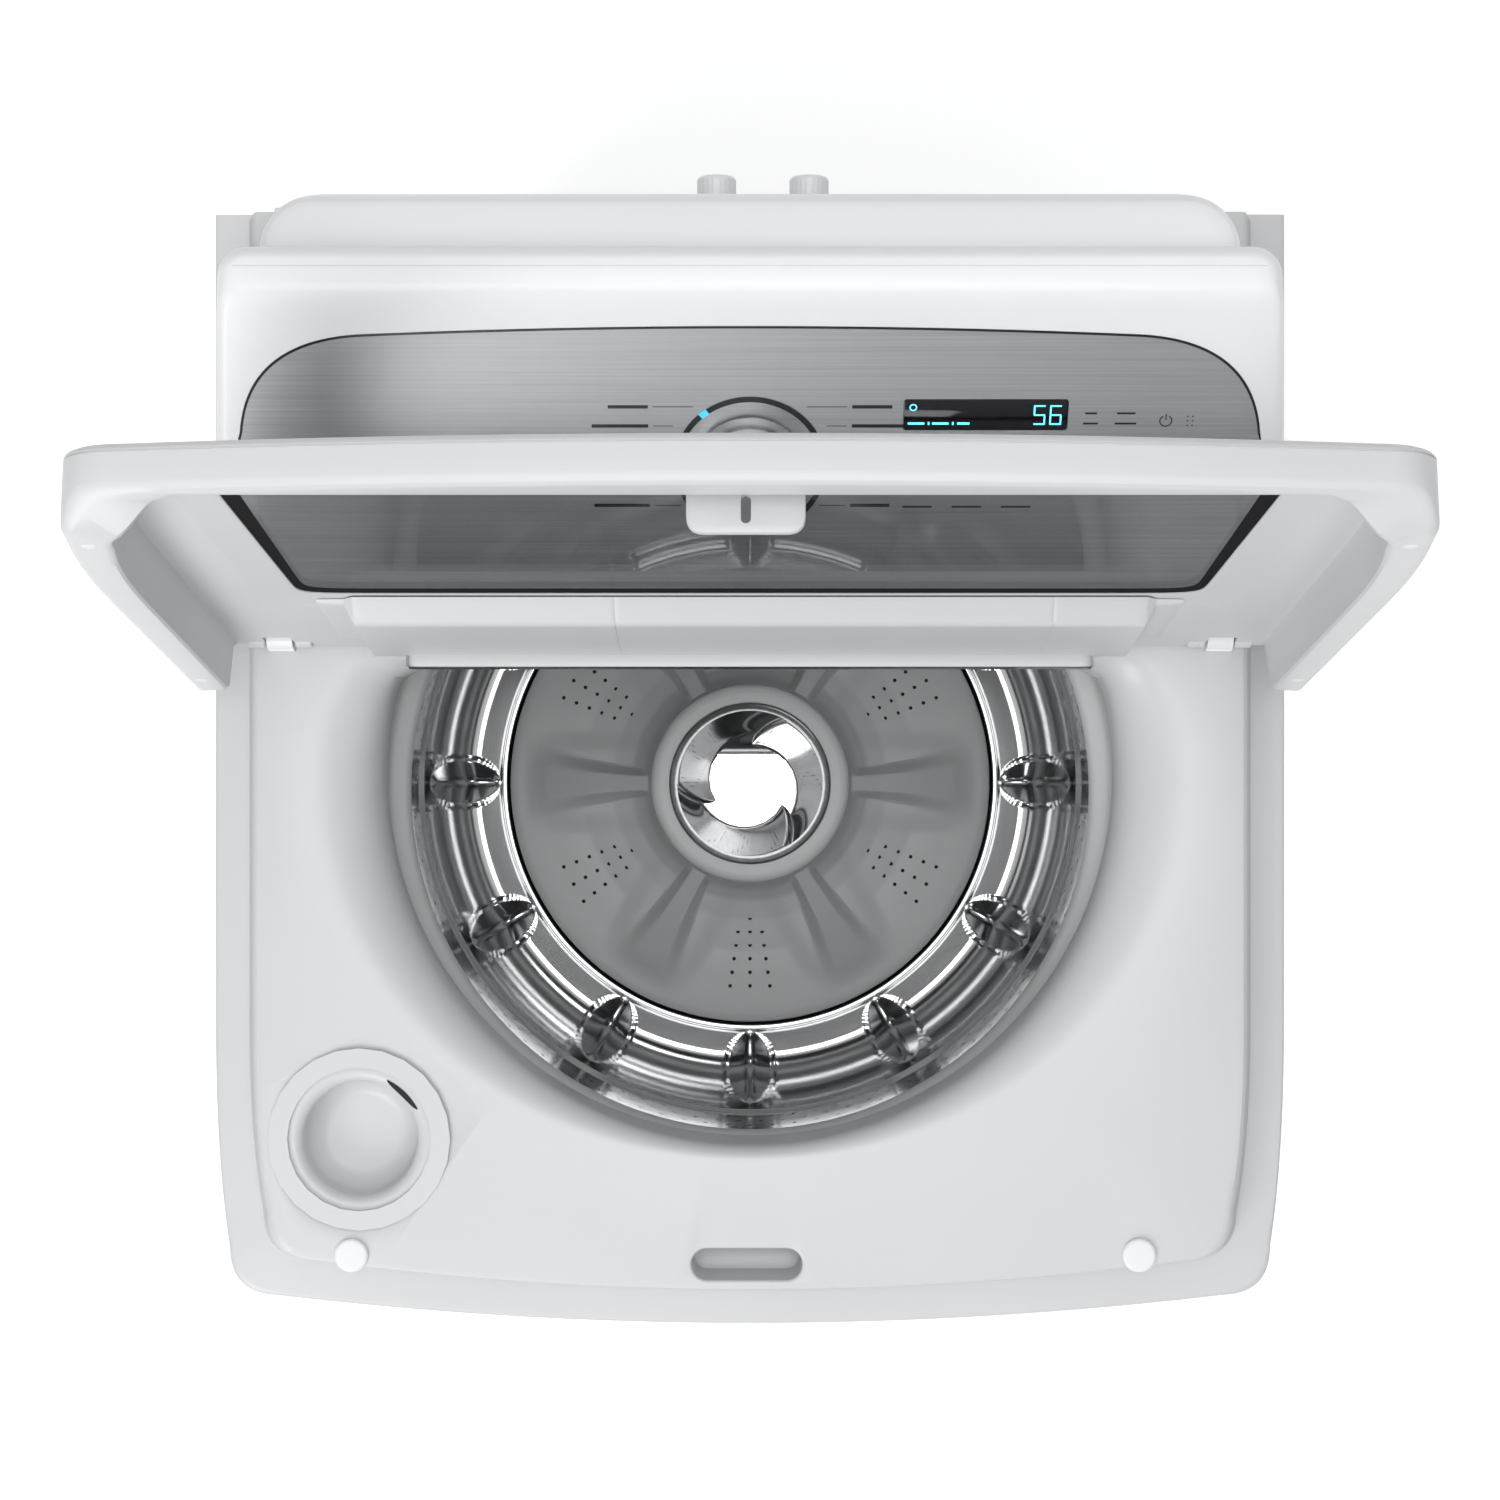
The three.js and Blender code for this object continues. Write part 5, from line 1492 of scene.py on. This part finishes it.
def makeSuspension():
    for place in ("front_left", "front_right", "rear_left", "rear_right"):
        node = f"suspension_spring_{place}"
        low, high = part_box(node)
        x, y = (low.x + high.x) / 2, (low.y + high.y) / 2
        rise = (high.z - low.z) - 2 * spring["wire"] * mm
        count = int(spring["turns"] * spring["steps"])
        rings = []
        for k in range(count + 1):
            t = k / count
            angle = tau * spring["turns"] * t
            outward = Vector((math.cos(angle), math.sin(angle), 0))
            centre = Vector((x, y, low.z + spring["wire"] * mm + rise * smoothStep(t * 0.9 + 0.05)))
            centre += outward * spring["radius"] * mm
            ring = []
            for j in range(spring["sides"]):
                turn = tau * j / spring["sides"]
                across = outward * math.cos(turn) + Vector((0, 0, math.sin(turn)))
                ring.append(centre + across * spring["wire"] * mm)
            rings.append(ring)
        mesh = skin(f"coil_{place}", rings, capStart=True, capEnd=True)
        coil = finishPiece(f"coil_{place}", mesh, "rodSteel", None, [node], 60)
        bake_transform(coil)
        dress(f"suspension_rod_{place}", "rodSteel")


def makeRearFittings():
    for name in ("left", "right"):
        low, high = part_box(f"inlet_cap_{name}")
        x, z = (low.x + high.x) / 2 / mm, (low.z + high.z) / 2 / mm
        start, end = low.y / mm, high.y / mm
        outline = [(0, start), (13, start), (13, end - 2, 1), (11.5, end, 1), (0, end - 0.4)]
        cap = turnedAlong("inletCap", outline, (x, 0, z), "Y", 96)
        for v in cap.vertices:  # grip ribs round the cap
            dx, dz = v.co.x - x * mm, v.co.z - z * mm
            if math.hypot(dx, dz) > 12.9 * mm and v.co.y < high.y - 2.4 * mm:
                scale = 1 - 0.03 * (0.5 + 0.5 * math.cos(24 * math.atan2(dz, dx)))
                v.co.x, v.co.z = x * mm + dx * scale, z * mm + dz * scale
        finishPiece(f"inletPlug_{name}", cap, "consoleWhite", "cabinet",
                    [f"inlet_cap_{name}"])
    low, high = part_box("cord_gland")
    x, z = (low.x + high.x) / 2 / mm, (low.z + high.z) / 2 / mm
    flange = backY / mm + 0.3
    end = high.y / mm
    outline = [(0, low.y / mm), (8.4, low.y / mm), (8.4, flange), (14, flange), (14, flange + 3, 1),
               (12.5, flange + 4, 1), (8, flange + 5, 1.5), (7, end, 0.8), (0, end)]
    finishPiece("cordGland", turnedAlong("cordGland", outline, (x, 0, z), "Y", 64), "rubberBlack",
                "cabinet", ["cord_gland"])
    low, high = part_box("drain_outlet")
    x, z = (low.x + high.x) / 2 / mm, (low.z + high.z) / 2 / mm
    end = high.y / mm
    outline = [(0, low.y / mm), (14.4, low.y / mm), (14.4, flange), (24, flange), (24, flange + 3, 1),
               (22.5, flange + 4, 1), (15, flange + 5, 2), (15, end - 7), (16.4, end - 5.5, 0.8),
               (15.2, end, 0.8), (11.5, end, 0.6), (11.5, end - 6, 1), (0, end - 6)]
    finishPiece("drainSpigot", turnedAlong("drainSpigot", outline, (x, 0, z), "Y", 64), "tubGrey",
                "cabinet", ["drain_outlet"])


makeCabinet()
makeFeet()
makeSuspension()
makeRearFittings()
for nodeName, lookName in {"base_frame": "frameZinc", "bearing_housing": "castAlloy",
                           "spin_tube": "rodSteel", "wash_shaft": "rodSteel", "motor_rotor": "rodSteel",
                           "motor_stator": "copper", "drain_pump": "darkGrey",
                           "fill_spout": "consoleWhite", "inlet_valve": "darkGrey",
                           "lock_bolt": "rodSteel", "hose_hook_left": "consoleWhite",
                           "hose_hook_right": "consoleWhite"}.items():
    dress(nodeName, lookName)
print("cabinet and insides made")
